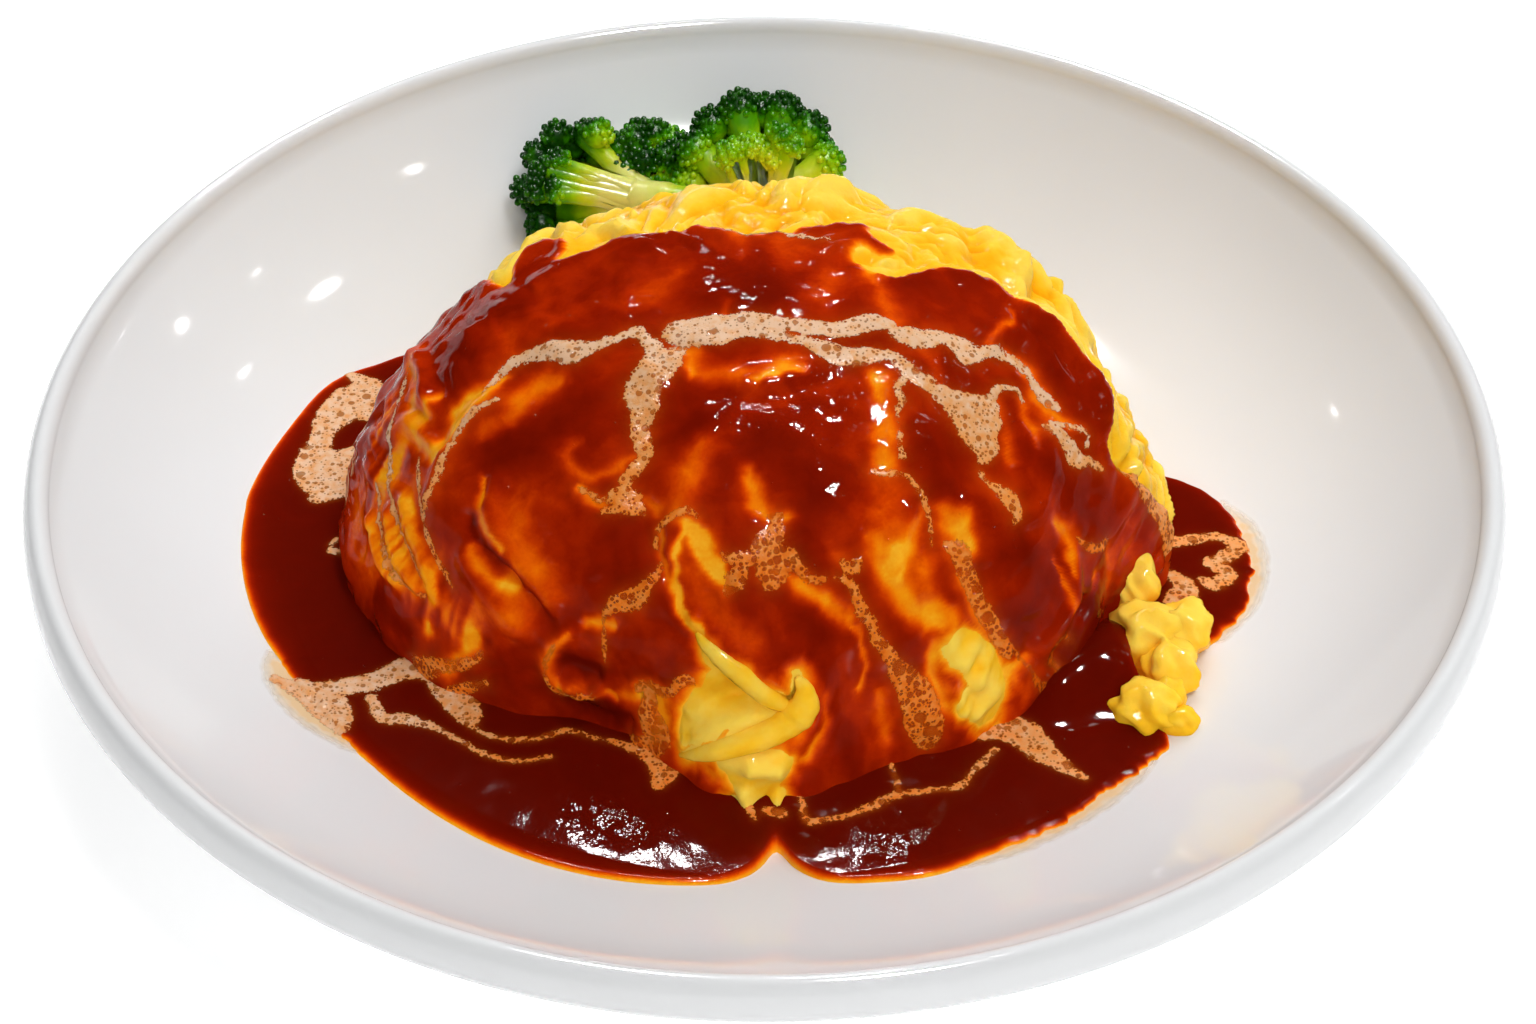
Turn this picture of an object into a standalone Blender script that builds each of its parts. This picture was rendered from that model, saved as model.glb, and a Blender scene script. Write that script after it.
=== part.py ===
"""Omurice on its plate: a soft omelette mound under brown sauce, a pool round it and three florets.

Metres, +Z up. The origin is at the centre of the plate's foot, and the diner sits at -Y.
"""

import math

import bmesh
import bpy
import numpy as np
from mathutils import Vector

# Plate, a round coupe dish
PLATE_DIAMETER = 0.240
PLATE_HEIGHT = 0.037
WALL = 0.0048
LIP_WIDTH = 0.0046
LIP_CREST_INSET = 0.0026
LIP_RISE = 0.0026
LIP_DROP = 0.0055
FOOT_OUTER_RADIUS = 0.061
FOOT_INNER_RADIUS = 0.0535
FOOT_HEIGHT = 0.0042
BELLY_RADIUS = 0.072
WELL_FLOOR = 0.0095
WELL_FLAT_RADIUS = 0.0415
WELL_POWER = 3.2
WELL_RINGS = 7

# Omelette mound
MOUND_X = -0.0022
MOUND_Y = -0.0030
MOUND_RIGHT = 0.0690
MOUND_LEFT = 0.0672
MOUND_FRONT = 0.0545
MOUND_BACK = 0.0665
MOUND_HEIGHT = 0.0555
MOUND_SQUARENESS = 2.2
TONGUE_REACH = 0.0080
HOLLOW_DEPTH = 0.0060
CHEEK_REACH = 0.0020
SHOULDER = 0.0035
FOLD_RADIUS = 0.0021
FOLD_RAISE = 0.0006

# Sauce
COAT = 0.0020
SUNK = 0.0030
COAT_FOOT = 0.93
COAT_EDGE = 0.035
POOL_X = -0.0033
POOL_Y = -0.0010
POOL_RADIUS = 0.0830
POOL_LEVEL = 0.0138
POOL_EDGE = 0.0010
POOL_ROUNDING = 0.0014
NOTCH_DEPTH = 0.0055

# Broccoli
STEM_TAPER = 0.8
CORE_SHARE = 0.62
LUMP_SHARE = 0.60
LUMP_SIZE = 0.44

GAP = 0.0003
SEGMENTS = 48
MOUND_RINGS = 11

# How far down the mound the coat reaches, by direction: 1 is the foot, and past 1 it meets the pool
COAT_REACH = (
    (-180, 1.2), (-45, 1.2), (-17, 1.2), (-12, 0.74), (-4, 0.61), (4, 0.54), (10, 0.38), (20, 0.25),
    (55, 0.20), (98, 0.12), (137, 0.22), (150, 0.50), (160, 0.85), (168, 1.2),
)
# The folded edge's line, as direction in degrees and place between the top (0) and the foot (1)
FOLD_LINE = (
    (-103, 0.48), (-102, 0.60), (-97, 0.69), (-90, 0.735), (-84, 0.765), (-80, 0.795),
    (-79, 0.835), (-82, 0.87), (-89, 0.89), (-96, 0.90),
)
# Curds that have slid off the mound on its right: x, y, half width and height
CURDS = (
    (0.0620, -0.017, 0.0060, 0.0070),
    (0.0635, -0.029, 0.0100, 0.0085),
    (0.0585, -0.044, 0.0085, 0.0070),
)
# Florets: where the stem starts, the middle of the crown, the crown's radius and the stem's
FLORETS = {
    "broccoli_left": ((-0.0155, 0.0722, 0.0250), (-0.0378, 0.0795, 0.0265), 0.0112, 0.0042),
    "broccoli_middle": ((-0.0205, 0.0890, 0.0195), (-0.0208, 0.0868, 0.0262), 0.0064, 0.0026),
    "broccoli_right": ((0.0010, 0.0680, 0.0180), (-0.0006, 0.0790, 0.0315), 0.0152, 0.0062),
}


def clear_scene():
    for obj in list(bpy.data.objects):
        bpy.data.objects.remove(obj, do_unlink=True)


def material(name, colour, roughness):
    made = bpy.data.materials.new(name)
    made.use_nodes = True
    shader = made.node_tree.nodes["Principled BSDF"]
    shader.inputs["Base Color"].default_value = (*colour, 1.0)
    shader.inputs["Roughness"].default_value = roughness
    return made


def finish(bm, name, look=None):
    """Turn a bmesh into a named object. With no look it is a cutter, or a piece to be joined."""
    bmesh.ops.remove_doubles(bm, verts=bm.verts, dist=1e-6)
    bmesh.ops.recalc_face_normals(bm, faces=bm.faces)
    if bm.calc_volume(signed=True) < 0:
        bmesh.ops.reverse_faces(bm, faces=bm.faces)
    mesh = bpy.data.meshes.new(name)
    bm.to_mesh(mesh)
    bm.free()
    mesh.shade_smooth()
    mesh.set_sharp_from_angle(angle=math.radians(50))
    obj = bpy.data.objects.new(name, mesh)
    bpy.context.scene.collection.objects.link(obj)
    if look:
        mesh.materials.append(look)
    else:
        obj.hide_render = True
        obj.display_type = "WIRE"
    return obj


def boolean(obj, operation, other):
    modifier = obj.modifiers.new(f"{operation.lower()} {other.name}", "BOOLEAN")
    modifier.operation = operation
    modifier.object = other
    modifier.solver = "EXACT"


def skin(bm, rings):
    """Join closed rings of points in turn, and close each end with a fan of triangles."""
    rows = [[bm.verts.new(point) for point in ring] for ring in rings]
    for lower, upper in zip(rows, rows[1:]):
        for i in range(len(lower)):
            j = (i + 1) % len(lower)
            bm.faces.new((lower[i], lower[j], upper[j], upper[i]))
    for row in (rows[0], rows[-1]):
        centre = bm.verts.new(sum((vert.co for vert in row), Vector()) / len(row))
        for i in range(len(row)):
            bm.faces.new((row[i], row[(i + 1) % len(row)], centre))


def directions():
    """Degrees round the vertical axis, anticlockwise from +X."""
    return [step * 360.0 / SEGMENTS for step in range(SEGMENTS)]


def circle(radius, height):
    turns = np.radians(directions())
    return [(radius * math.cos(turn), radius * math.sin(turn), height) for turn in turns]


def near(degrees, middle, width):
    """A smooth bump of height 1 round one direction."""
    away = (degrees - middle + 180.0) % 360.0 - 180.0
    return math.exp(-((away / width) ** 2))


def well_top(radius):
    """Height of the plate's upper surface at a distance from its centre."""
    lip_radius = PLATE_DIAMETER / 2 - LIP_WIDTH
    rise = max(0.0, (radius - WELL_FLAT_RADIUS) / (lip_radius - WELL_FLAT_RADIUS))
    return WELL_FLOOR + (PLATE_HEIGHT - LIP_RISE - WELL_FLOOR) * rise**WELL_POWER


def well_radii():
    return np.linspace(WELL_FLAT_RADIUS, PLATE_DIAMETER / 2 - LIP_WIDTH, WELL_RINGS)


# Plate


def plate_profile():
    """The plate's section as (radius, height), from the well over the lip and under to the foot."""
    well = [(radius, well_top(radius)) for radius in well_radii()]
    crest = PLATE_DIAMETER / 2 - LIP_CREST_INSET
    inset = LIP_WIDTH - LIP_CREST_INSET
    inner = [
        (crest + inset * math.cos(turn), PLATE_HEIGHT - LIP_RISE * (1 - math.sin(turn)))
        for turn in np.radians((135, 90))
    ]
    outer = [
        (crest + LIP_CREST_INSET * math.cos(turn), PLATE_HEIGHT - LIP_DROP * (1 - math.sin(turn)))
        for turn in np.radians((45, 0))
    ]
    edge = [(PLATE_DIAMETER / 2 - 0.0014, PLATE_HEIGHT - LIP_DROP - 0.0020)]
    under = [(radius, well_top(radius) - WALL) for radius in np.linspace(well_radii()[-2], BELLY_RADIUS, 3)]
    foot = [
        (FOOT_OUTER_RADIUS, 0.0),
        (FOOT_INNER_RADIUS, 0.0),
        (FOOT_INNER_RADIUS - 0.002, FOOT_HEIGHT),
    ]
    return well + inner + outer + edge + under + foot


def build_plate(look):
    bm = bmesh.new()
    section = [bm.verts.new((0.0, 0.0, WELL_FLOOR))]
    section += [bm.verts.new((radius, 0.0, height)) for radius, height in plate_profile()]
    section.append(bm.verts.new((0.0, 0.0, FOOT_HEIGHT)))
    edges = [bm.edges.new(pair) for pair in zip(section, section[1:])]
    bmesh.ops.spin(
        bm, geom=section + edges, axis=(0, 0, 1), cent=(0, 0, 0), steps=SEGMENTS, angle=math.tau, use_merge=True
    )
    return finish(bm, "plate", look)


def plate_clearance():
    """A cutter whose top lies a gap above the well."""
    bm = bmesh.new()
    rings = [circle(radius, well_top(radius) + GAP) for radius in well_radii()]
    rings.append(circle(well_radii()[-1], -0.02))
    skin(bm, rings)
    return finish(bm, "plate_clearance")


# Omelette


def mound_radius(degrees, place):
    """Distance from the mound's axis, at a place from its top (0) to its foot (1)."""
    turn = math.radians(degrees)
    width = MOUND_RIGHT if math.cos(turn) > 0 else MOUND_LEFT
    depth = MOUND_BACK if math.sin(turn) > 0 else MOUND_FRONT
    smooth = width * depth / math.hypot(depth * math.cos(turn), width * math.sin(turn))
    tongue = TONGUE_REACH * near(degrees, -88, 15)
    hollow = HOLLOW_DEPTH * near(degrees, -118, 17)
    cheek = CHEEK_REACH * near(degrees, -60, 10)
    shoulder = SHOULDER * near(degrees, 38, 24) * math.sin(math.pi * place)
    out = smooth * math.sin(place * math.pi / 2) ** (2 / MOUND_SQUARENESS)
    return out + (tongue - hollow + cheek) * place**3 + shoulder


def mound_surface(degrees, place):
    out = mound_radius(degrees, place)
    x = MOUND_X + out * math.cos(math.radians(degrees))
    y = MOUND_Y + out * math.sin(math.radians(degrees))
    foot = well_top(math.hypot(x, y)) + GAP
    top = WELL_FLOOR + GAP + MOUND_HEIGHT
    rise = max(0.0, math.cos(place * math.pi / 2)) ** (2 / MOUND_SQUARENESS)
    return Vector((x, y, foot + (top - foot) * rise))


def mound_point(degrees, place, lift=0.0):
    """A point on the mound, moved off it along its normal."""
    upper = max(0.004, place - 0.01)
    lower = min(1.0, place + 0.01)
    middle = max(0.004, place)
    along = mound_surface(degrees, lower) - mound_surface(degrees, upper)
    across = mound_surface(degrees + 1.0, middle) - mound_surface(degrees - 1.0, middle)
    return mound_surface(degrees, place) + lift * along.cross(across).normalized()


def mound(name, look, grow):
    """The mound alone. Its underside follows the well, or runs into it on a grown copy."""
    bm = bmesh.new()
    places = np.linspace(0.0, 1.0, MOUND_RINGS + 1)[1:]
    rings = [[mound_point(degrees, float(place), grow) for degrees in directions()] for place in places]
    foot = rings[-1]
    for share in (0.75, 0.45):
        ring = []
        for point in foot:
            x = MOUND_X + (point.x - MOUND_X) * share
            y = MOUND_Y + (point.y - MOUND_Y) * share
            ring.append((x, y, well_top(math.hypot(x, y)) + GAP - 8 * grow))
        rings.append(ring)
    skin(bm, rings)
    top = max(bm.verts, key=lambda vert: vert.co.z - math.hypot(vert.co.x - MOUND_X, vert.co.y - MOUND_Y))
    top.co.z = WELL_FLOOR + GAP + MOUND_HEIGHT + grow
    return finish(bm, name, look)


def fold(name, grow):
    """The omelette's folded edge, a rod with blunt ends that lies half in the mound."""
    line = [mound_point(degrees, place, FOLD_RAISE) for degrees, place in FOLD_LINE]
    line[0] += 3 * grow * (line[0] - line[1]).normalized()
    line[-1] += 3 * grow * (line[-1] - line[-2]).normalized()
    radius = FOLD_RADIUS + 1.5 * grow
    bm = bmesh.new()
    rings = []
    for i, (degrees, place) in enumerate(FOLD_LINE):
        ahead = line[min(i + 1, len(line) - 1)] - line[max(i - 1, 0)]
        outward = mound_point(degrees, place, 0.001) - mound_point(degrees, place)
        side = ahead.cross(outward).normalized()
        up = side.cross(ahead).normalized()
        size = radius * (0.55 if i in (0, len(line) - 1) else 1.0)
        turns = np.radians(np.arange(0, 360, 45))
        rings.append([line[i] + size * (math.cos(turn) * side + math.sin(turn) * up) for turn in turns])
    skin(bm, rings)
    return finish(bm, name)


def curd(name, x, y, half_width, height):
    bm = bmesh.new()
    bmesh.ops.create_icosphere(bm, subdivisions=2, radius=1.0)
    bmesh.ops.scale(bm, verts=bm.verts, vec=(half_width, half_width, height))
    bmesh.ops.translate(bm, verts=bm.verts, vec=(x, y, well_top(math.hypot(x, y))))
    return finish(bm, name)


def omelette(name, look=None, grow=0.0):
    """Mound, folded edge and slid curds in one piece. A grown copy is the cutter that clears it."""
    body = mound(name, look, grow)
    boolean(body, "UNION", fold(f"{name}_fold", grow))
    for i, (x, y, half_width, height) in enumerate(CURDS):
        boolean(body, "UNION", curd(f"{name}_curd_{i}", x, y, half_width + grow, height + grow))
    return body


# Sauce


def pool_left(x, y):
    """Distance from a place out to the pool's edge: negative outside the pool."""
    degrees = math.degrees(math.atan2(y - POOL_Y, x - POOL_X))
    right_swell = 0.002 * near(degrees, -5, 10)
    notch = NOTCH_DEPTH * near(degrees, -86, 2.2)
    bare_sides = 0.028 * (near(degrees, -27, 9) + near(degrees, 30, 22)) + 0.020 * near(degrees, 143, 16)
    bare_back = 0.040 * near(degrees, 90, 48)
    return POOL_RADIUS + right_swell - notch - bare_sides - bare_back - math.hypot(x - POOL_X, y - POOL_Y)


def pool_top(x, y):
    """Height of the pool's surface, or a place under the well where there is no sauce."""
    left = pool_left(x, y)
    floor = well_top(math.hypot(x, y))
    if left < 0:
        return floor - SUNK
    rounded = math.sqrt(1 - (1 - min(left / POOL_ROUNDING, 1.0)) ** 2)
    return floor + max(POOL_LEVEL - floor, POOL_EDGE) * rounded


def coat_lift(degrees, place):
    """Thickness of the coat on the mound. Where there is none, it runs under the egg."""
    angles, reaches = zip(*COAT_REACH)
    reach = np.interp(degrees, angles, reaches, period=360)
    covered = float(np.clip((reach - place) / COAT_EDGE, 0.0, 1.0))
    return -SUNK + (SUNK + COAT) * covered


def build_sauce(look, egg_cutter, plate_cutter):
    """Coat and pool in one piece: a full shape over the mound, less the mound and the plate."""
    bm = bmesh.new()
    rings = []
    for place in np.linspace(0.0, COAT_FOOT, MOUND_RINGS + 1)[1:]:
        rings.append([mound_point(d, float(place), coat_lift(d, place)) for d in directions()])
    for share in (0.0, 0.25, 0.55, 0.80, 0.95, 1.02):
        ring = []
        for degrees in directions():
            turn = math.radians(degrees)
            start = mound_point(degrees, 1.0, COAT + 0.0012)
            width = max(0.004, pool_left(start.x, start.y))
            x = start.x + width * share * math.cos(turn)
            y = start.y + width * share * math.sin(turn)
            ring.append((x, y, pool_top(x, y)))
        rings.append(ring)
    rings.append([(x, y, WELL_FLOOR - 0.005) for x, y, _ in rings[-1]])
    skin(bm, rings)
    obj = finish(bm, "sauce", look)
    boolean(obj, "DIFFERENCE", egg_cutter)
    boolean(obj, "DIFFERENCE", plate_cutter)
    return obj


# Broccoli


def stem(name, start, end, radius):
    bm = bmesh.new()
    bmesh.ops.create_cone(
        bm, cap_ends=True, segments=10, radius1=radius * STEM_TAPER, radius2=radius, depth=(end - start).length
    )
    turn = (end - start).to_track_quat("Z", "Y").to_matrix()
    bmesh.ops.rotate(bm, verts=bm.verts, matrix=turn)
    bmesh.ops.translate(bm, verts=bm.verts, vec=(start + end) / 2)
    return finish(bm, name)


def ball(name, centre, radius, look=None):
    bm = bmesh.new()
    bmesh.ops.create_icosphere(bm, subdivisions=2, radius=radius)
    bmesh.ops.translate(bm, verts=bm.verts, vec=centre)
    return finish(bm, name, look)


def build_floret(name, look, base, crown, crown_radius, stem_radius, cutters):
    """A stem under a crown of lumps, one on top, five round it and three at its back."""
    body = ball(name, crown, crown_radius * CORE_SHARE, look)
    boolean(body, "UNION", stem(f"{name}_stem", base, crown, stem_radius))
    turn = (crown - base).to_track_quat("Z", "Y").to_matrix()
    lumps = [(0.0, 0.0)]
    lumps += [(62.0, i * 72.0) for i in range(5)]
    lumps += [(100.0, 36.0 + i * 120.0) for i in range(3)]
    for i, (tilt, bearing) in enumerate(np.radians(lumps)):
        aim = turn @ Vector((
            math.sin(tilt) * math.cos(bearing),
            math.sin(tilt) * math.sin(bearing),
            math.cos(tilt),
        ))
        size = crown_radius * (LUMP_SIZE + 0.05 * math.sin(2.4 * i))
        boolean(body, "UNION", ball(f"{name}_lump_{i}", crown + aim * crown_radius * LUMP_SHARE, size))
    for cutter in cutters:
        boolean(body, "DIFFERENCE", cutter)
    return body


def main():
    clear_scene()
    glaze = material("plate_glaze", (0.74, 0.72, 0.69), 0.12)
    egg = material("omelette_egg", (0.95, 0.60, 0.08), 0.35)
    brown = material("brown_sauce", (0.28, 0.035, 0.006), 0.18)
    green = material("broccoli_green", (0.06, 0.19, 0.02), 0.45)

    build_plate(glaze)
    plate_cutter = plate_clearance()
    egg_cutter = omelette("omelette_clearance", grow=GAP)
    boolean(omelette("omelette", egg), "DIFFERENCE", plate_cutter)
    build_sauce(brown, egg_cutter, plate_cutter)
    for name, (base, crown, crown_radius, stem_radius) in FLORETS.items():
        cutters = (egg_cutter, plate_cutter)
        build_floret(name, green, Vector(base), Vector(crown), crown_radius, stem_radius, cutters)


main()
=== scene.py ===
"""Looks of an omurice: a soft omelette under brown sauce, with cream streaks and three florets, on its plate."""

import math

import bmesh
import bpy
import numpy as np
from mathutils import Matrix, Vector, noise


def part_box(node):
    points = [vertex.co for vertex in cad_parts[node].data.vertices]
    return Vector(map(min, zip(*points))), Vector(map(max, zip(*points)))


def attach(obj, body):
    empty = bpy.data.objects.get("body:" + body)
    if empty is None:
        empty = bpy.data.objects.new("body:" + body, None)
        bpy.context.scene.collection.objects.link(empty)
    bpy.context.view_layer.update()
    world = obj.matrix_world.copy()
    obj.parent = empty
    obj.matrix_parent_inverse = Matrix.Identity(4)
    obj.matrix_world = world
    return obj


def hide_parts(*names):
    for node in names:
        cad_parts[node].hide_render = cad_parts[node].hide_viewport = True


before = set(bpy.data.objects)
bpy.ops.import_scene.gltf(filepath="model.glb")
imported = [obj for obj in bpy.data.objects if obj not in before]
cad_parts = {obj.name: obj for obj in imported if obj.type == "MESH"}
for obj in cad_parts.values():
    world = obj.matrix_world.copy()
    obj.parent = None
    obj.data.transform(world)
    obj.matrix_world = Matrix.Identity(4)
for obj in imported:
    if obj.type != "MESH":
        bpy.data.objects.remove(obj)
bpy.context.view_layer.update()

bl_info = {
    "name": "Omurice",
    "version": (1, 0, 0),
    "blender": (4, 5, 0),
    "location": "3D View > Sidebar > Omurice",
    "description": "Dresses an omelette in brown sauce on its plate",
    "category": "Object",
}

BODY = "root"
MILLIMETRE = 0.001

# Plate
PLATE_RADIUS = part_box("plate")[1].x
PLATE_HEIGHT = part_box("plate")[1].z
WALL = 0.0048
LIP_WIDTH = 0.0046
LIP_CREST_INSET = 0.0026
LIP_RISE = 0.0026
LIP_DROP = 0.0055
FOOT_OUTER_RADIUS = 0.061
FOOT_INNER_RADIUS = 0.0535
FOOT_HEIGHT = 0.0042
BELLY_RADIUS = 0.072
WELL_FLOOR = 0.0095
WELL_FLAT_RADIUS = 0.0415
WELL_POWER = 3.2

# Omelette mound, as directions in degrees from +X and places from its top to its foot
MOUND_X = -0.0022
MOUND_Y = -0.0030
MOUND_RIGHT = 0.0690
MOUND_LEFT = 0.0672
MOUND_FRONT = 0.0545
MOUND_BACK = 0.0665
MOUND_TOP = 0.0653
MOUND_SQUARENESS = 2.2
TONGUE_REACH = 0.0080
HOLLOW_DEPTH = 0.0060
CHEEK_REACH = 0.0020
TUCK_DEPTH = 0.0045
SHOULDER = 0.0035
GAP = 0.0003

# Pool
POOL_X = -0.0033
POOL_Y = -0.0010
POOL_LEVEL = 0.0138
POOL_EDGE = 0.0010
POOL_SLOPE = 0.004
POOL_ROUNDING = 0.0014

# Edge of the pool: directions in degrees from +X round its middle, and millimetres out
POOL_OUTLINE = (
    (-180, 84.4), (-172, 84.3), (-162, 83.4), (-150, 81.3), (-139, 80.7), (-130, 81.2), (-116, 82.5), (-105, 82.3),
    (-94, 80.6), (-90, 78.5), (-88, 76), (-86, 72.5), (-84, 76.9), (-81, 80.5), (-76, 82.5), (-70, 84), (-63, 83.5),
    (-55, 84.1), (-48, 83.6), (-42, 84.6), (-38, 84), (-35, 78), (-32, 73), (-28, 72), (-25, 77), (-22, 80.7),
    (-17, 84.2), (-12, 85.2), (-7, 85.2), (-3, 84), (1, 82.3), (4, 80.1), (6, 77.3), (8, 73.2), (12, 62), (20, 50),
    (60, 45), (100, 45), (125, 50), (134, 58), (138, 66), (144, 75), (148, 78), (155, 81.8), (165, 82.8),
    (177, 84.4), (180, 84.4),
)

# Sauce heaped against the curds: middle, height and radius
HEAPS = (
    (0.0555, -0.0335, 0.0048, 0.0062),
    (0.0572, -0.0420, 0.0036, 0.0056),
    (0.0500, -0.0395, 0.0045, 0.0060),
    (0.0455, -0.0448, 0.0030, 0.0045),
    (-0.0295, -0.0607, 0.00025, 0.0100),
    (0.0245, -0.0667, 0.00018, 0.0100),
)

# Florets: stem base, middle of the crown, crown radius and stem radius
FLORETS = {
    "broccoli_left": ((-0.0155, 0.0722, 0.0250), (-0.0378, 0.0795, 0.0265), 0.0112, 0.0042),
    "broccoli_middle": ((-0.0205, 0.0890, 0.0195), (-0.0208, 0.0868, 0.0262), 0.0064, 0.0026),
    "broccoli_right": ((0.0010, 0.0680, 0.0180), (-0.0006, 0.0790, 0.0315), 0.0152, 0.0062),
}

# The mound's skin is drawn unrolled, seen from above: steps to the right and to the back of its top,
# with the foot 100 steps out all round, so that a step is about a millimetre of skin.
STEPS = 100.0

# Rim of the coat of sauce, in steps
COAT_OUTLINE = (
    (-116, 34), (-96, 31), (-80, 29), (-62, 27), (-50, 22), (-43, 16), (-39, 10), (-37, 9.5),
    (-36, 14), (-34, 18), (-31, 19.2), (-28.3, 17.5), (-27, 13), (-28.3, 10.4), (-24, 10.4), (-20, 10.9),
    (-16.5, 12.2), (-12, 11), (-9, 11), (-6.5, 12), (-3, 10.4), (0, 9), (2.5, 10.2), (5, 10.2),
    (6, 11.7), (9, 13.1), (13, 13.4), (15, 12.5), (14.7, 10.8), (17, 9), (18.4, 7.5), (16, 6.3),
    (13.6, 7.6), (12.3, 6.2), (12.8, 4), (15, 2.4), (17.6, 2), (21, 4), (24, 6.3), (27, 7.2),
    (31, 7.3), (35, 7), (37, 5.4), (39, 4), (43, 3.5), (46, 2.7), (49, 0.5), (52, -0.6),
    (55.5, -1.4), (57.8, -3), (58.9, -5.7), (59.3, -9), (60, -13), (61.5, -15.2), (65, -16.4), (70, -15.8),
    (77, -13.8), (85, -11.4), (96, -10), (116, -11), (112, -60),
    (90, -95), (0, -125), (-95, -90), (-125, -10),
)

# How far the egg falls away beyond the coat's rim: directions in degrees from the right, and millimetres
BACK_DROP = (
    (-14, 0), (-6, 0.4), (0, 1.2), (5, 2.4), (9, 3.6), (14, 4.8), (19, 4.4), (25, 3.0), (31, 2.2), (38, 2.4),
    (46, 3.6), (52, 3.6), (58, 3.8), (63, 3.8), (67, 2.8), (72, 1.9), (80, 2.2), (96, 2.4), (111, 2.2),
    (121, 3.2), (130, 3.2), (138, 2.2), (144, 3.2), (150, 4.6), (157, 3.8), (163, 2.8), (171, 1.2), (180, 0),
)

# The fibrous flank on the left, in steps
LEFT_FLANK = ((-62, -4, 3.0), (-67, -14, 5.0), (-68.5, -26, 6.0), (-69, -37, 6.0), (-64, -48, 5.0), (-60, -58, 3.0))

# Places with no sauce: half-width lines in steps, to the right, to the back and half the width
BARE_EGG = (
    ((43.5, -64.5, 3.4), (48, -65, 4.2), (53, -68.5, 4.8), (54.5, -72, 4.4), (49, -73.5, 2.6)),
    ((-9.5, -70, 0.9), (-6, -73, 1.6), (-1, -76.5, 2.0), (4, -79.3, 1.8)),
    ((8.6, -75, 1.3), (10, -78.5, 2.0), (7, -82.5, 2.4), (1, -85.5, 2.2), (-7, -88.5, 1.7), (-15, -91.5, 1.0)),
    ((-14.8, -87.6, 1.8), (-11, -83.8, 4.0), (-6, -80.4, 4.6), (0, -81, 4.2), (6, -80.5, 2.4)),
    ((-6.5, -77, 2.6), (-5, -74.5, 1.4)),
    ((-6, -91, 1.6), (-2, -92, 3.2), (3, -92, 4.0), (7, -90.5, 2.6)),
    ((-3, -98, 2.0), (2, -98, 2.8), (7, -97, 1.6)),
)

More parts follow.
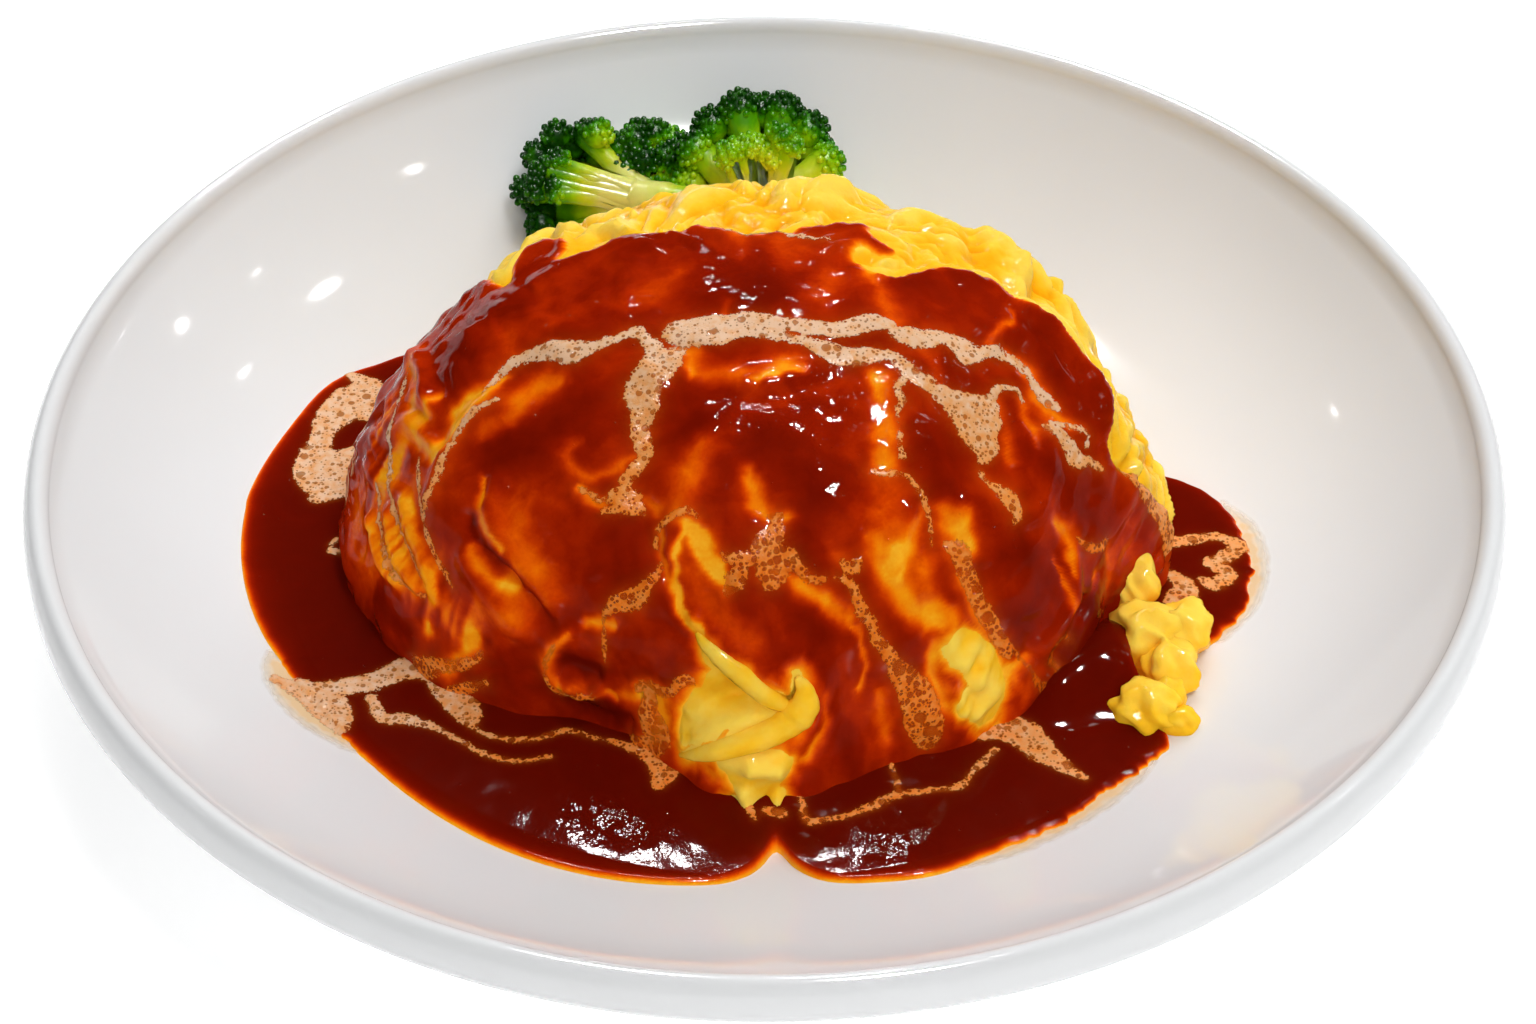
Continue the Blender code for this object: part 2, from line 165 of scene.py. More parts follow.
# Where the sauce runs thin: millimetres less, then a line with its half width
THIN_SAUCE = (
    (0.5, ((-2, 8, 1.4), (-1, 4, 1.2))),
    (0.5, ((4, 8, 1.6), (4, 2.5, 1.3))),
    (0.5, ((10, 0, 2.0), (9, -4, 1.6), (7, -2.5, 1.2))),
    (0.9, ((14.5, 4, 1.0), (16.5, -1, 1.6), (18.3, -6, 1.5), (19, -9.5, 1.2))),
    (0.6, ((-8, 1, 1.2), (-12, -3.6, 2.0), (-17, -4.6, 1.6))),
    (0.7, ((-3, -6.5, 0.6), (-3, -9.5, 1.0))),
    (0.3, ((-36, -4, 3.0), (-42, -9, 3.0))),
    (0.9, ((-42, -22.5, 1.5), (-37, -21, 2.2), (-32, -17, 2.4), (-28, -16.5, 1.4))),
    (1.4, ((-51, -21, 1.4), (-46, -17.5, 2.0), (-41, -15.5, 1.8), (-37, -12.5, 0.9))),
    (0.8, ((-29, -29.5, 1.2), (-31, -33.5, 1.4), (-29, -36.6, 1.3), (-24, -37.2, 1.2), (-20.5, -35.5, 0.9))),
    (1.2, ((-30, -39, 0.6), (-28.5, -41, 0.9), (-26.5, -43, 0.8))),
    (1.1, ((-10, -15.5, 0.8), (-8.6, -18, 1.3), (-8.4, -21, 1.0))),
    (0.75, ((-6, -22, 1.8), (-1, -22, 2.0), (4, -20.5, 2.0), (7, -18, 1.4))),
    (1.2, ((1, -24, 0.7), (4.5, -21.6, 1.0), (8.5, -20.7, 0.8))),
    (0.7, ((-8, -36, 2.0), (-10.5, -41.5, 2.6), (-12, -47, 1.8))),
    (0.8, ((-19, -44, 1.2), (-16.5, -46.5, 1.3))),
    (1.2, ((0, -40, 1.0), (1, -45, 1.6), (4, -48, 1.6), (7, -47.5, 1.0))),
    (1.2, ((-11.5, -49.5, 0.8), (-9.4, -51.5, 1.4), (-7.5, -55.5, 1.8), (-4, -60, 1.3))),
    (0.9, ((36.4, 1.2, 0.5), (36.6, -1, 0.6), (35, -4, 0.6), (34, -7.5, 0.6))),
    (1.3, ((19, -19.5, 1.4), (20.8, -25, 1.9), (21.4, -30, 2.2), (22.4, -36, 1.7))),
    (0.6, ((24.5, -12.5, 1.0), (27, -16, 0.7), (28, -18.5, 0.7))),
    (1.2, ((37, -8.5, 1.0), (41, -9.5, 1.3), (44.5, -12.5, 1.8), (48.5, -15.8, 1.6), (52, -15, 1.2))),
    (0.9, ((41.5, -15.5, 1.1), (44, -19, 1.2), (46.5, -23.5, 0.8))),
    (0.8, ((37.5, -18, 1.0), (40, -22, 1.2), (43, -28, 1.0))),
    (1.1, ((36.5, -40.5, 1.4), (38, -43.5, 2.0), (40, -46.5, 1.6))),
    (0.9, ((30.5, -41.5, 1.0), (29, -47, 1.5), (28, -52.5, 1.5))),
    (0.5, ((24, -40, 3.0), (25, -46, 3.6), (31, -52, 3.0))),
    (1.2, ((55.5, -34.4, 1.2), (58.5, -35, 1.9), (60.5, -37.5, 1.5), (62.3, -41, 0.8))),
    (0.4, ((49, -28, 2.6), (50, -33, 2.6))),
    (1.1, ((58, -41.5, 0.5), (63, -45, 0.8), (66.3, -47.2, 1.1), (67.6, -50, 0.9))),
    (0.6, ((72, -31, 1.8), (75.5, -33, 2.6), (77, -38, 2.4))),
    (0.8, ((70.5, -37.5, 0.8), (69.5, -42, 1.0), (68.5, -46, 0.7))),
    (0.6, ((58, -63.5, 2.0), (63, -66, 2.2))),
    (1.0, ((40, -52, 1.4), (45, -57.5, 1.8), (51, -61.5, 2.2), (56, -64, 1.6))),
    (1.2, ((-45, -30.5, 0.5), (-46.8, -34.5, 0.8), (-48, -39, 1.1), (-47, -44.5, 0.8))),
    (0.7, ((-42, -38, 2.4), (-43, -46, 3.4), (-41, -54, 3.2), (-43, -59, 1.2))),
    (0.7, ((-55, -51, 3.4), (-51, -57, 4.0), (-47.5, -50, 2.4))),
    (1.1, ((-52.5, -42, 1.0), (-52, -46, 1.5), (-50.5, -49.5, 1.2), (-48, -52, 0.9))),
    (1.1, ((-71.5, -49, 1.8), (-70, -48.5, 1.0))),
    (1.0, ((-63, -27, 1.5), (-64, -33, 1.7), (-64.4, -40, 1.7), (-65, -46, 1.4))),
    (1.0, ((-75, -25, 2.6), (-73, -31, 4.4), (-70, -37, 3.6), (-67, -43, 1.6))),
    (1.1, ((-68, -18, 2.4), (-62, -16, 2.2), (-57, -12, 2.2), (-56, -5, 2.0), (-57.5, 3, 2.0))),
    (0.6, ((-62, -23, 2.4), (-54, -26, 3.0))),
    (1.3, ((-61.5, -57, 1.6), (-66, -58, 1.8), (-73, -57.5, 2.0))),
    (1.2, ((-40, -65, 0.9), (-45, -66, 1.5), (-49, -69.5, 1.4), (-48.6, -73.5, 1.3))),
    (0.9, ((-48, -74.5, 1.2), (-43, -76.2, 0.9), (-39, -79, 1.0), (-35.5, -81.5, 1.1))),
    (0.6, ((-37, -81, 1.6), (-28, -80.5, 1.8))),
    (1.0, ((-16.5, -50.5, 0.8), (-17, -56, 0.7), (-15, -61.5, 0.8), (-12, -66.5, 0.9), (-9, -69.5, 1.0))),
    (0.5, ((-13.5, -55, 2.0), (-9, -62, 2.8), (-4, -67, 2.4), (2, -69, 1.8))),
    (1.1, ((5, -57.5, 0.9), (13, -61.5, 1.8), (19.5, -64.8, 1.4))),
    (1.0, ((21, -66, 0.7), (22.8, -70, 0.7), (23.8, -73.5, 0.7), (23.2, -77.5, 0.7))),
    (0.6, ((15, -53.5, 1.5), (18, -54, 1.5))),
    (0.9, ((26.5, -51, 1.2), (27, -54, 1.4))),
    (0.5, ((32, -50, 1.8), (35, -58, 1.8), (36, -64, 1.6))),
    (0.4, ((19, -75, 2.4), (22, -80, 2.6))),
    (0.9, ((28, -77, 1.6), (30.5, -81, 2.4), (33, -85.5, 1.6))),
    (0.9, ((12, -80, 1.0), (9.5, -84.5, 1.2), (7, -88, 1.6), (10, -91, 1.6))),
    (1.4, ((-26, -80, 2.0), (-21, -82, 3.0), (-22, -87, 3.2), (-26, -91, 3.0))),
    (1.0, ((-17, -90, 1.6), (-11, -92.5, 1.2), (-7, -94, 1.2), (-4, -96, 1.2))),
    (1.3, ((37.5, -62, 1.6), (40.5, -60, 1.8), (39, -69, 1.6), (44, -76, 1.8))),
    (1.0, ((60, -60, 1.4), (58, -67, 1.6), (61, -75, 1.8))),
    (1.2, ((53, -78, 1.6), (60, -78, 1.8), (66, -74, 1.8))),
    (1.0, ((22.5, -50, 1.6), (24, -54, 2.2), (29, -58, 2.6), (33, -61, 2.4), (37, -58, 1.6))),
    (0.8, ((34, -41, 1.4), (36.5, -44, 2.0), (38.5, -48, 2.0))),
    (1.3, ((-49.5, -11, 1.0), (-53, -12.5, 1.4), (-56, -17, 1.4), (-53, -22, 1.2))),
    (1.2, ((-36, -64, 1.2), (-30, -66, 1.0))),
    (1.3, ((-11, -50.5, 0.8), (-14.5, -57, 0.8), (-13.3, -64, 0.9), (-9.5, -68.6, 1.1))),
    (1.0, ((15, -78, 1.2), (15.5, -84, 1.2), (12, -89, 1.2))),
    (1.4, ((-10, -50, 1.2), (-8.4, -54.5, 1.5), (-5.5, -58.5, 1.1))),
    (0.8, ((-79, -12, 4.0), (-83, -20, 5.0), (-82, -31, 4.0))),
    (1.1, ((-47, -15.6, 1.8), (-43, -15.6, 1.8))),
)

# Where the sauce lies thick: millimetres more, then a line with its half width
THICK_SAUCE = (
    (0.6, ((-2, -1, 4.0), (2, -5, 4.0))),
    (0.3, ((22, 1, 5.0), (30, -1, 6.0))),
    (0.3, ((42, -4, 4.0), (50, -7, 5.0), (56, -9, 3.4))),
    (0.5, ((-24, -23, 3.0), (-32, -26, 4.0), (-40, -27, 3.0))),
    (0.5, ((0, -32, 2.6), (6, -37, 4.6), (11, -42, 4.0))),
    (0.5, ((10, -47, 2.4), (9, -54, 2.4), (13, -57, 2.0))),
    (0.3, ((-24, -50, 5.0), (-22, -55, 5.0))),
    (0.4, ((28, -27, 4.0), (31, -33, 4.4), (34, -38, 3.0))),
    (0.4, ((30, -15, 3.6), (32, -17, 3.0))),
    (0.5, ((50, -44, 4.6), (56, -49, 5.4), (53, -54, 3.6))),
    (0.5, ((47, -24, 2.6), (53, -27, 3.4), (62, -29, 4.0))),
    (0.9, ((-50, -36, 0.5), (-50.3, -41, 0.5), (-47.5, -46.5, 0.5), (-45.2, -53, 0.5), (-43.6, -60.5, 0.6))),
    (0.5, ((-59, -64, 5.0), (-55, -70, 5.0), (-50, -77, 3.0))),
    (1.3, ((-43.5, -70.5, 1.6), (-40, -73, 1.9), (-36.6, -75.2, 1.2))),
    (1.6, ((-47, -78.5, 1.8), (-42, -82, 2.8), (-36, -85.5, 2.6))),
    (0.3, ((-33, -76, 1.6), (-24, -76.5, 1.6), (-16, -76.5, 1.2))),
    (0.4, ((9, -63, 2.2), (12.5, -69, 2.4), (15, -76, 2.4))),
    (0.3, ((18, -82, 3.4), (22, -88, 3.4))),
    (1.2, ((70, -42, 2.2), (76, -46, 3.4), (72, -53, 3.0))),
    (0.8, ((-80, -38, 4.0), (-76, -46, 3.0))),
    (0.5, ((-45, -3, 4.0), (-43, -10, 4.0))),
    (0.6, ((-41, 3, 3.0), (-34, 0, 3.2))),
    (0.5, ((-6, -30, 2.6), (-12, -34, 2.4))),
)

# Lines that the egg rises or sinks along, in millimetres, before the sauce goes over it
EGG_FOLDS = (
    (1.4, ((-3, -66, 4.0), (3, -71, 4.0), (11, -74, 3.4), (14, -80, 3.0), (10, -87, 2.6))),
    (2.0, ((-10.5, -66.3, 1.6), (-6, -69.3, 2.0), (-1, -72.8, 2.2), (4, -75.6, 2.0), (7.5, -77, 1.2))),
    (-0.9, ((-12, -82, 2.4), (-7, -78, 2.4), (-1, -78.6, 1.6))),
    (1.2, ((-15, -89.5, 1.6), (-8, -87, 2.0), (0, -83.5, 2.0), (5, -81.5, 1.6))),
    (0.9, ((-13, -83, 1.2), (-6, -79, 1.0), (-2, -78, 0.8))),
    (0.7, ((-12, -87, 1.0), (-6, -84, 0.9), (0, -82.5, 0.8))),
    (1.8, ((41, -63, 2.4), (43, -67, 2.6))),
    (1.6, ((47, -63, 1.6), (46, -67, 1.6))),
    (1.7, ((51, -65, 1.7), (50.5, -69, 1.6))),
    (1.5, ((55, -70, 2.4), (53, -74, 2.4))),
    (1.6, ((46, -72, 2.0), (49, -75.5, 1.8))),
    (2.6, ((1, -91, 2.0), (6, -91.5, 1.8))),
    (2.2, ((-1, -96, 1.4), (0, -98, 1.4))),
    (1.8, ((6, -97, 1.1), (7, -98.5, 1.1))),
    (1.6, ((-40, -65, 1.2), (-46, -66.5, 1.8), (-49.5, -70.5, 1.8), (-48, -74.5, 1.6), (-40, -78.5, 1.4))),
    (-1.8, ((-44, -71, 1.8), (-38, -74.5, 1.8))),
    (-2.0, ((-48, -79, 2.2), (-41, -83, 2.6), (-34, -87, 2.6))),
    (1.3, ((-43, -32, 1.4), (-46.5, -38, 1.8), (-45, -47, 2.2), (-42, -57, 1.8))),
    (-1.3, ((-50.5, -36, 1.2), (-50, -43, 1.2), (-46, -53, 1.2), (-44, -62, 1.4))),
    (1.2, ((-55, -43, 1.8), (-53, -52, 2.6), (-50, -60, 2.4))),
    (1.4, ((-64, -26, 1.4), (-64.5, -36, 1.6), (-65, -46, 1.4))),
    (1.3, ((-69, -25, 1.0), (-70.5, -33, 1.2), (-68.5, -42, 1.0))),
    (1.3, ((-75, -22, 1.2), (-76, -30, 1.2), (-73, -38, 1.0))),
    (1.2, ((-57.5, -12, 1.6), (-53, -20, 1.2))),
    (1.6, ((-58, 6, 1.8), (-54, -2, 1.4), (-52, -12, 1.2))),
    (1.2, ((-40, -16, 1.4), (-49, -21, 1.4), (-57, -29, 1.2))),
    (1.0, ((-8, -22, 2.0), (0, -23, 2.2), (8, -21, 1.8))),
    (-1.0, ((-2, -27, 2.4), (6, -26, 2.6), (11, -23, 2.0))),
    (1.0, ((-6, -32, 2.2), (-11, -43, 2.4), (-15, -54, 1.8))),
    (-1.0, ((-16, -30, 2.2), (-20, -44, 2.2), (-17, -58, 1.6))),
    (0.9, ((20, -21, 1.6), (22, -30, 1.8), (23, -38, 1.4))),
    (0.8, ((37, -40, 1.8), (40, -47, 1.8))),
    (0.9, ((28, -43, 1.6), (27, -55, 1.8))),
    (-0.9, ((33, -38, 2.0), (33, -50, 1.8))),
    (1.2, ((61, -38, 1.8), (66, -47, 2.0), (64, -56, 2.2))),
    (-1.6, ((70, -45, 2.0), (69, -56, 2.4))),
    (0.9, ((36, -1, 1.2), (34, -8, 1.2))),
    (1.4, ((40, 4, 1.6), (47, 2, 2.2), (56, -3, 2.4), (59, -11, 2.0))),
    (2.6, ((8, 34, 4.0), (15, 33, 4.0))),
    (1.6, ((24, 30, 3.0), (30, 28, 3.0))),
    (2.4, ((38, 27, 3.0), (43, 22, 3.0), (41, 14, 2.0))),
    (2.0, ((49, 16, 3.0), (52, 10, 2.4))),
    (-1.8, ((18, 38, 3.0), (20, 26, 2.2))),
    (-1.6, ((33, 30, 2.2), (33, 18, 1.6))),
    (-1.6, ((47, 24, 2.2), (45, 12, 1.4))),
    (0.5, ((-1, -24.2, 1.6), (4, -24.6, 2.0), (9, -24.8, 2.0), (13, -25, 1.4))),
    (0.55, ((-2.5, -28, 1.6), (3, -29.6, 2.0), (8, -32.4, 2.2), (13, -35.2, 2.4), (18, -37.4, 2.2), (21, -38.5, 1.4))),
    (0.5, ((10.5, -34, 1.4), (15, -33, 2.0), (19, -32, 1.6))),
    (0.45, ((15, -45, 1.4), (17, -46.5, 1.4), (19, -47.6, 1.0))),
    (0.45, ((6, -57.6, 1.4), (8.6, -59.8, 1.4))),
    (0.45, ((-16.5, -17.6, 1.4), (-14.6, -21.4, 1.4))),
    (0.45, ((-8, -36.5, 1.6), (-4, -33.5, 1.4))),
)

# Cream streaks on the coat: lines in steps, each point with its half width
CREAM_ON_COAT = (
    ((-9.5, -12.4, 2.9), (-5, -12.6, 3.2), (-2, -11.4, 2.2), (2, -11, 1.6), (6, -11.2, 1.5),
     (10, -11.3, 1.4), (13, -10.8, 1.7), (16, -9, 1.5), (18.3, -8.8, 0.9)),
    ((-3, -13.5, 1.2), (1, -13, 1.2), (5, -13.6, 1.1), (8, -14.2, 0.9), (11, -15.7, 1.4), (14, -16.8, 1.8),
     (17, -15.7, 1.3), (20, -15.2, 0.9), (23, -17.5, 1.1), (26, -19, 1.2), (28.5, -20.3, 1.3),
     (31, -21.3, 1.8), (33.5, -23, 2.9), (36, -25.5, 2.9), (38, -28, 1.6), (37.7, -30.4, 0.5)),
    ((29, -19.8, 0.6), (33, -19.8, 1.0), (36.3, -19.3, 1.4), (37, -22, 2.2)),
    ((37, -20, 0.7), (36.5, -17.5, 0.5), (37.3, -15.3, 0.5), (40, -14.3, 0.4), (42, -15.5, 0.3)),
    ((37.6, -30.4, 0.3), (38.2, -32.5, 0.3), (40, -33.7, 0.4), (42.5, -34, 1.0), (44.3, -35.2, 1.5),
     (46.2, -37, 0.9), (46, -38.8, 0.2)),
    ((19.8, -10, 0.8), (21.5, -10.5, 1.5), (24, -10.3, 1.8), (26.5, -9.3, 1.2), (30, -10.3, 1.8),
     (31, -11.5, 1.6), (34, -9.4, 0.9), (38, -9, 0.9), (41, -9.5, 0.7), (43.5, -11.7, 0.7),
     (46, -13, 0.9), (48.5, -13.8, 0.5)),
    ((47.5, -18.5, 0.8), (50, -18.6, 1.0), (53, -19.8, 1.2), (55, -21.3, 1.6), (57.5, -20.3, 0.9), (61, -19.8, 0.5)),
    ((48, -17.5, 0.4), (51, -16, 0.5), (55, -15.8, 0.4), (56, -18, 0.3)),
    ((-41, -15, 0.3), (-38, -12.3, 0.5), (-35, -11, 0.9), (-31, -10.8, 1.1), (-28.5, -11.4, 1.7),
     (-26, -12.8, 2.1), (-24, -12.8, 1.4), (-21, -12.4, 0.9), (-19.5, -12.2, 0.5), (-17.5, -11.2, 0.6)),
    ((-16.2, -10.8, 0.8), (-15.3, -12.5, 0.8), (-14.3, -15, 1.2), (-14.2, -18, 1.8), (-15.5, -20.8, 2.4),
     (-17, -23.5, 2.6), (-17, -26.5, 1.9), (-18, -29.5, 1.5), (-18.3, -33, 1.3), (-18.3, -35.5, 1.2),
     (-19.5, -37.5, 1.0), (-21.5, -39, 0.9), (-22.8, -39.6, 0.4)),
    ((-9.5, -14.5, 0.8), (-11.2, -16.5, 1.1), (-12, -19, 1.2), (-13.5, -21, 1.2)),
    ((-25.6, -42.5, 0.7), (-23.5, -42.6, 1.9), (-21.8, -43.5, 1.9), (-20.2, -45.5, 0.6)),
    ((-22, -40.8, 0.8), (-22.5, -43, 1.5)),
    ((-26.5, -44.3, 0.6), (-23, -45.2, 0.6), (-19.5, -46.3, 0.3)),
    ((-30, -38.8, 0.2), (-28.8, -40, 0.4), (-27, -42.2, 0.4)),
    ((-18, -53, 0.2), (-17.3, -50.5, 0.3), (-15.5, -48.8, 0.3), (-13, -47.6, 0.5), (-10.5, -47.3, 0.5), (-9, -48.5, 0.3)),
    ((4.5, -48.5, 1.2), (4.5, -51, 1.6), (3, -53.5, 2.6), (4, -56.5, 3.2), (3.5, -59, 1.5)),
    ((3, -54, 1.5), (0, -55.5, 1.2), (-3.5, -55.5, 0.8), (-5, -54.5, 0.3)),
    ((-1, -57, 0.8), (-2.5, -59, 1.6), (-4.3, -61.2, 0.6)),
    ((7, -55, 1.4), (9.5, -57.3, 1.0), (12, -58.7, 0.6), (14, -58.5, 0.3)),
    ((17.3, -55, 0.5), (18.5, -56, 1.0), (20, -55, 0.8), (20.3, -53.8, 0.3)),
    ((16, -57.8, 0.3), (18.5, -58.3, 0.5), (20.5, -60.5, 1.0), (22, -63, 1.2), (24, -65, 1.1),
     (26, -67.6, 1.3), (28.5, -69.6, 1.3), (31, -71.6, 2.0), (34, -73.5, 2.8), (37, -76, 4.0),
     (40, -79, 4.6), (42.2, -81.8, 3.4), (42, -84.2, 1.0)),
    ((36, -47, 0.8), (38.3, -47.5, 1.8), (40, -50, 1.6), (43, -53.3, 1.5), (46, -56, 1.7),
     (49, -58, 1.6), (52, -59.7, 1.5), (55, -61, 1.5), (56.5, -60.5, 0.6)),
    ((57, -60.5, 0.3), (60, -61.3, 0.4), (63, -61.8, 0.4), (65, -62.8, 0.8), (68, -63, 0.7),
     (71, -61.5, 0.6), (73.5, -60.3, 1.1), (75, -58.8, 0.8)),
    ((73, -58.5, 0.9), (70, -57.7, 0.8), (67.5, -57.5, 1.3), (66.8, -55, 1.2), (68, -52.5, 1.0), (70, -51.8, 0.5)),
    ((61.5, -34.8, 0.3), (63.5, -35, 0.5), (66, -34.4, 0.8), (68.5, -32.5, 0.8), (70.2, -30, 0.4)),
    ((-34.3, -73, 0.2), (-33.3, -70.5, 0.3), (-32.4, -68.5, 0.5), (-32, -65.5, 0.3), (-30.5, -63.5, 0.9),
     (-28, -62.2, 1.4), (-25.5, -62, 1.9), (-22.5, -61.8, 1.9), (-20.8, -60.2, 1.2), (-18.5, -58.5, 0.7),
     (-17.2, -56.5, 0.3)),
    ((-27, -79.5, 1.0), (-24.5, -79.5, 1.6), (-22, -79.7, 1.2), (-18, -79.8, 0.9), (-15, -78, 0.9), (-13, -77.3, 1.2)),
    ((-24.5, -82, 2.4), (-25, -86, 3.0), (-22, -89, 3.0), (-27, -91.5, 2.2), (-33, -91, 1.2)),
    ((-62, -60, 0.6), (-66, -59.8, 0.8), (-70, -58.2, 1.3), (-75, -55.5, 1.8), (-80, -53, 2.4)),
    ((-65, -65, 0.6), (-70, -63.6, 1.0), (-75, -62.5, 2.0), (-73, -66, 1.0)),
    ((-39, -17.5, 0.3), (-43, -18.6, 0.3), (-47, -20.6, 0.3), (-50, -23.2, 0.3), (-53, -26.2, 0.3),
     (-56, -28.6, 0.35), (-58.5, -29.8, 0.4)),
    ((22.5, -19.5, 0.5), (22, -21.5, 0.3), (23.3, -23.5, 0.3), (22.8, -25.5, 0.2), (23.6, -28.5, 0.2),
     (23.8, -31, 0.2), (24.8, -34, 0.2)),
    ((-44, -65.5, 0.2), (-48.5, -68, 0.5), (-50.3, -72, 0.7), (-48.5, -75.6, 0.6), (-44, -77, 0.4), (-40, -78.6, 0.6)),
    ((-58, 2, 0.15), (-61, -7, 0.3), (-65, -15, 0.45), (-67, -24, 0.35), (-66.5, -33, 0.5), (-66, -41, 0.3)),
    ((-70, -18, 0.2), (-72, -24, 0.3), (-73.5, -31, 0.6), (-71.5, -38, 0.5), (-68, -44, 0.3)),
    ((-57, -20, 0.2), (-60, -30, 0.35), (-61, -38, 0.4), (-60.5, -46, 0.2)),
    ((60.5, -11, 0.8), (65.5, -14, 2.2), (72, -14.6, 3.0), (79, -13.8, 3.6), (87, -13, 4.2), (98, -12.5, 4.4)),
    ((-3, 9.6, 0.1), (0, 9.0, 0.2), (2, 10.2, 0.3), (4, 9.8, 0.25), (6, 8, 0.2), (9, 7.4, 0.1)),
    ((20.5, -37.8, 0.4), (23, -37.6, 0.6), (26, -37.2, 0.3), (28.5, -38.8, 0.3), (30.5, -41, 0.3),
     (32, -43.5, 0.4), (32.6, -46, 0.3), (33.4, -48, 0.2)),
)

# Cream on the pool and at its edge: millimetres right and back of the plate's centre, and half widths
CREAM_ON_POOL = (
    ((-74, 35.5, 1.0), (-70.5, 33, 2.0), (-72.5, 29, 4.0), (-76, 24, 2.8), (-77.3, 19, 1.8),
     (-77.5, 13.5, 3.0), (-75.5, 9.5, 5.2), (-73.5, 7.5, 4.6), (-76, 3.5, 1.6)),
    ((-71, 26, 2.0), (-67, 24, 1.2)),
    ((-72, 14, 2.0), (-68, 17, 1.2)),
    ((-72.4, -8.4, 0.35), (-71.2, -7, 0.35), (-69.6, -7.4, 0.35), (-69.3, -9, 0.4), (-70.6, -10.4, 0.6), (-72.2, -9.8, 0.4)),
    ((-77.5, -40.8, 0.8), (-72, -43.2, 2.2), (-68, -46.5, 3.0), (-66, -50.5, 1.2)),
    ((-70, -42, 1.5), (-63, -40.5, 1.8), (-57, -37.5, 2.2), (-52, -38, 2.8), (-49.5, -42, 3.0),
     (-47, -46.5, 2.2), (-45.5, -49.5, 0.8)),
    ((-62, -44, 0.8), (-60, -48, 0.9), (-56, -48.5, 1.0), (-52, -50, 0.5), (-48, -52.5, 0.3),
     (-43, -56, 0.3), (-38, -57.3, 0.3), (-33, -56.5, 0.2)),
    ((-46, -50, 0.3), (-42, -52.3, 0.3), (-36, -52.8, 0.3), (-31, -51, 0.35), (-27, -52.3, 0.3),
     (-22, -54, 0.4), (-18, -56.5, 1.0), (-15.5, -59, 2.2), (-16, -62, 1.0)),
    ((5.5, -63, 0.2), (5.6, -66, 0.3), (6.5, -69.5, 0.6), (9, -69.2, 0.35), (13, -68.2, 0.35),
     (17, -66.3, 0.7), (20, -64.3, 0.5), (25, -63.5, 0.3), (30, -62.5, 0.4), (31.5, -60, 0.3),
     (33.5, -57.5, 0.35), (35.5, -55, 0.4)),
    ((19.3, -58, 0.2), (20.2, -62, 0.3), (20.5, -64.5, 0.5)),
    ((-7, -57.5, 0.3), (-5.5, -61, 0.3), (-3, -65.5, 0.35), (-1.5, -69, 0.3)),
    ((0, -67.6, 0.6), (2.5, -68, 0.8)),
    ((33.5, -52, 1.0), (36.5, -50.8, 2.0), (40, -51.8, 2.6), (42.5, -55, 2.2), (45.5, -58, 1.3), (49, -60.8, 0.4)),
    ((64, -9, 1.2), (68, -8, 1.0), (72, -7, 0.9), (76, -6.6, 0.8), (79.5, -8.8, 1.2)),
    ((78, -10, 1.3), (76, -12, 1.3), (74, -13, 1.0), (76.5, -15.5, 1.3), (74, -18, 1.2), (72, -17, 0.7)),
    ((62, -12.5, 0.8), (65.5, -15, 0.7), (69, -18.5, 1.8), (67.5, -22, 2.2), (66.8, -24.5, 1.0)),
)

# Where the sauce's surface is pebbled with small bubbles, in steps
PEBBLED_COAT = (
    ((-2, -28, 3), (6, -31, 4), (13, -37, 5), (18, -33, 4), (17, -46, 4)),
    ((10, -23, 3), (13, -26, 3)),
    ((-6, -35, 2), (-2, -33, 2)),
    ((-13, -15, 2), (-15, -20, 3), (-17, -29, 3)),
    ((2, -60, 4), (8, -57, 3), (4, -65, 3)),
    ((-9, -47, 3), (-4, -45, 2)),
    ((-34, -19, 3), (-29, -17, 3)),
    ((-26, -33, 4), (-32, -41, 4), (-38, -37, 4)),
    ((0, 0, 5), (-5, 1, 4)),
)

PEBBLED_POOL = (
    ((-25, -66, 5), (-20, -70, 4)),
    ((19, -74, 4), (24, -72, 3)),
    ((-30, -52, 5), (-34, -48, 3)),
)

# Milky film at the edge of the pool, in millimetres
CREAM_ON_PLATE = (
    ((-79, -34.5, 0.8), (-77, -38.5, 3.0), (-73, -43.5, 4.6), (-69, -48.5, 4.0), (-65.5, -52.5, 2.2), (-63, -55, 0.8)),
    ((28, -78.6, 0.6), (34, -75.6, 2.2), (40, -72, 3.0), (46, -68, 3.2), (52, -63, 3.2), (57, -57.8, 2.6), (60.5, -53, 1.2)),
    ((78, 4.0, 0.6), (80.6, -3, 2.0), (81.4, -10, 2.4), (80.4, -17, 2.4), (77.6, -23.5, 2.4), (73.5, -29, 1.4)),
)

# Where the pool's edge is ragged: direction and half width in degrees
RAGGED_EDGE = ((-146, 8), (-49, 13), (-11, 13))

# Rolled lips of the torn fold at the front: steps right and back, and the roll's radius in millimetres
FOLD_LIPS = (
    ((-10.0, -68.2, 0.4), (-8.4, -69.8, 1.1), (-4.7, -72.3, 1.7), (-0.4, -75.1, 1.9), (4.0, -78.4, 1.8), (7.2, -80.2, 1.2)),
    ((9.2, -75.0, 0.5), (10.9, -77.4, 1.7), (10.8, -80.2, 2.6), (8.2, -82.9, 2.6), (2.7, -85.5, 2.2),
     (-5.0, -88.0, 1.7), (-11.5, -90.3, 1.1), (-16.7, -91.9, 0.5)),
)

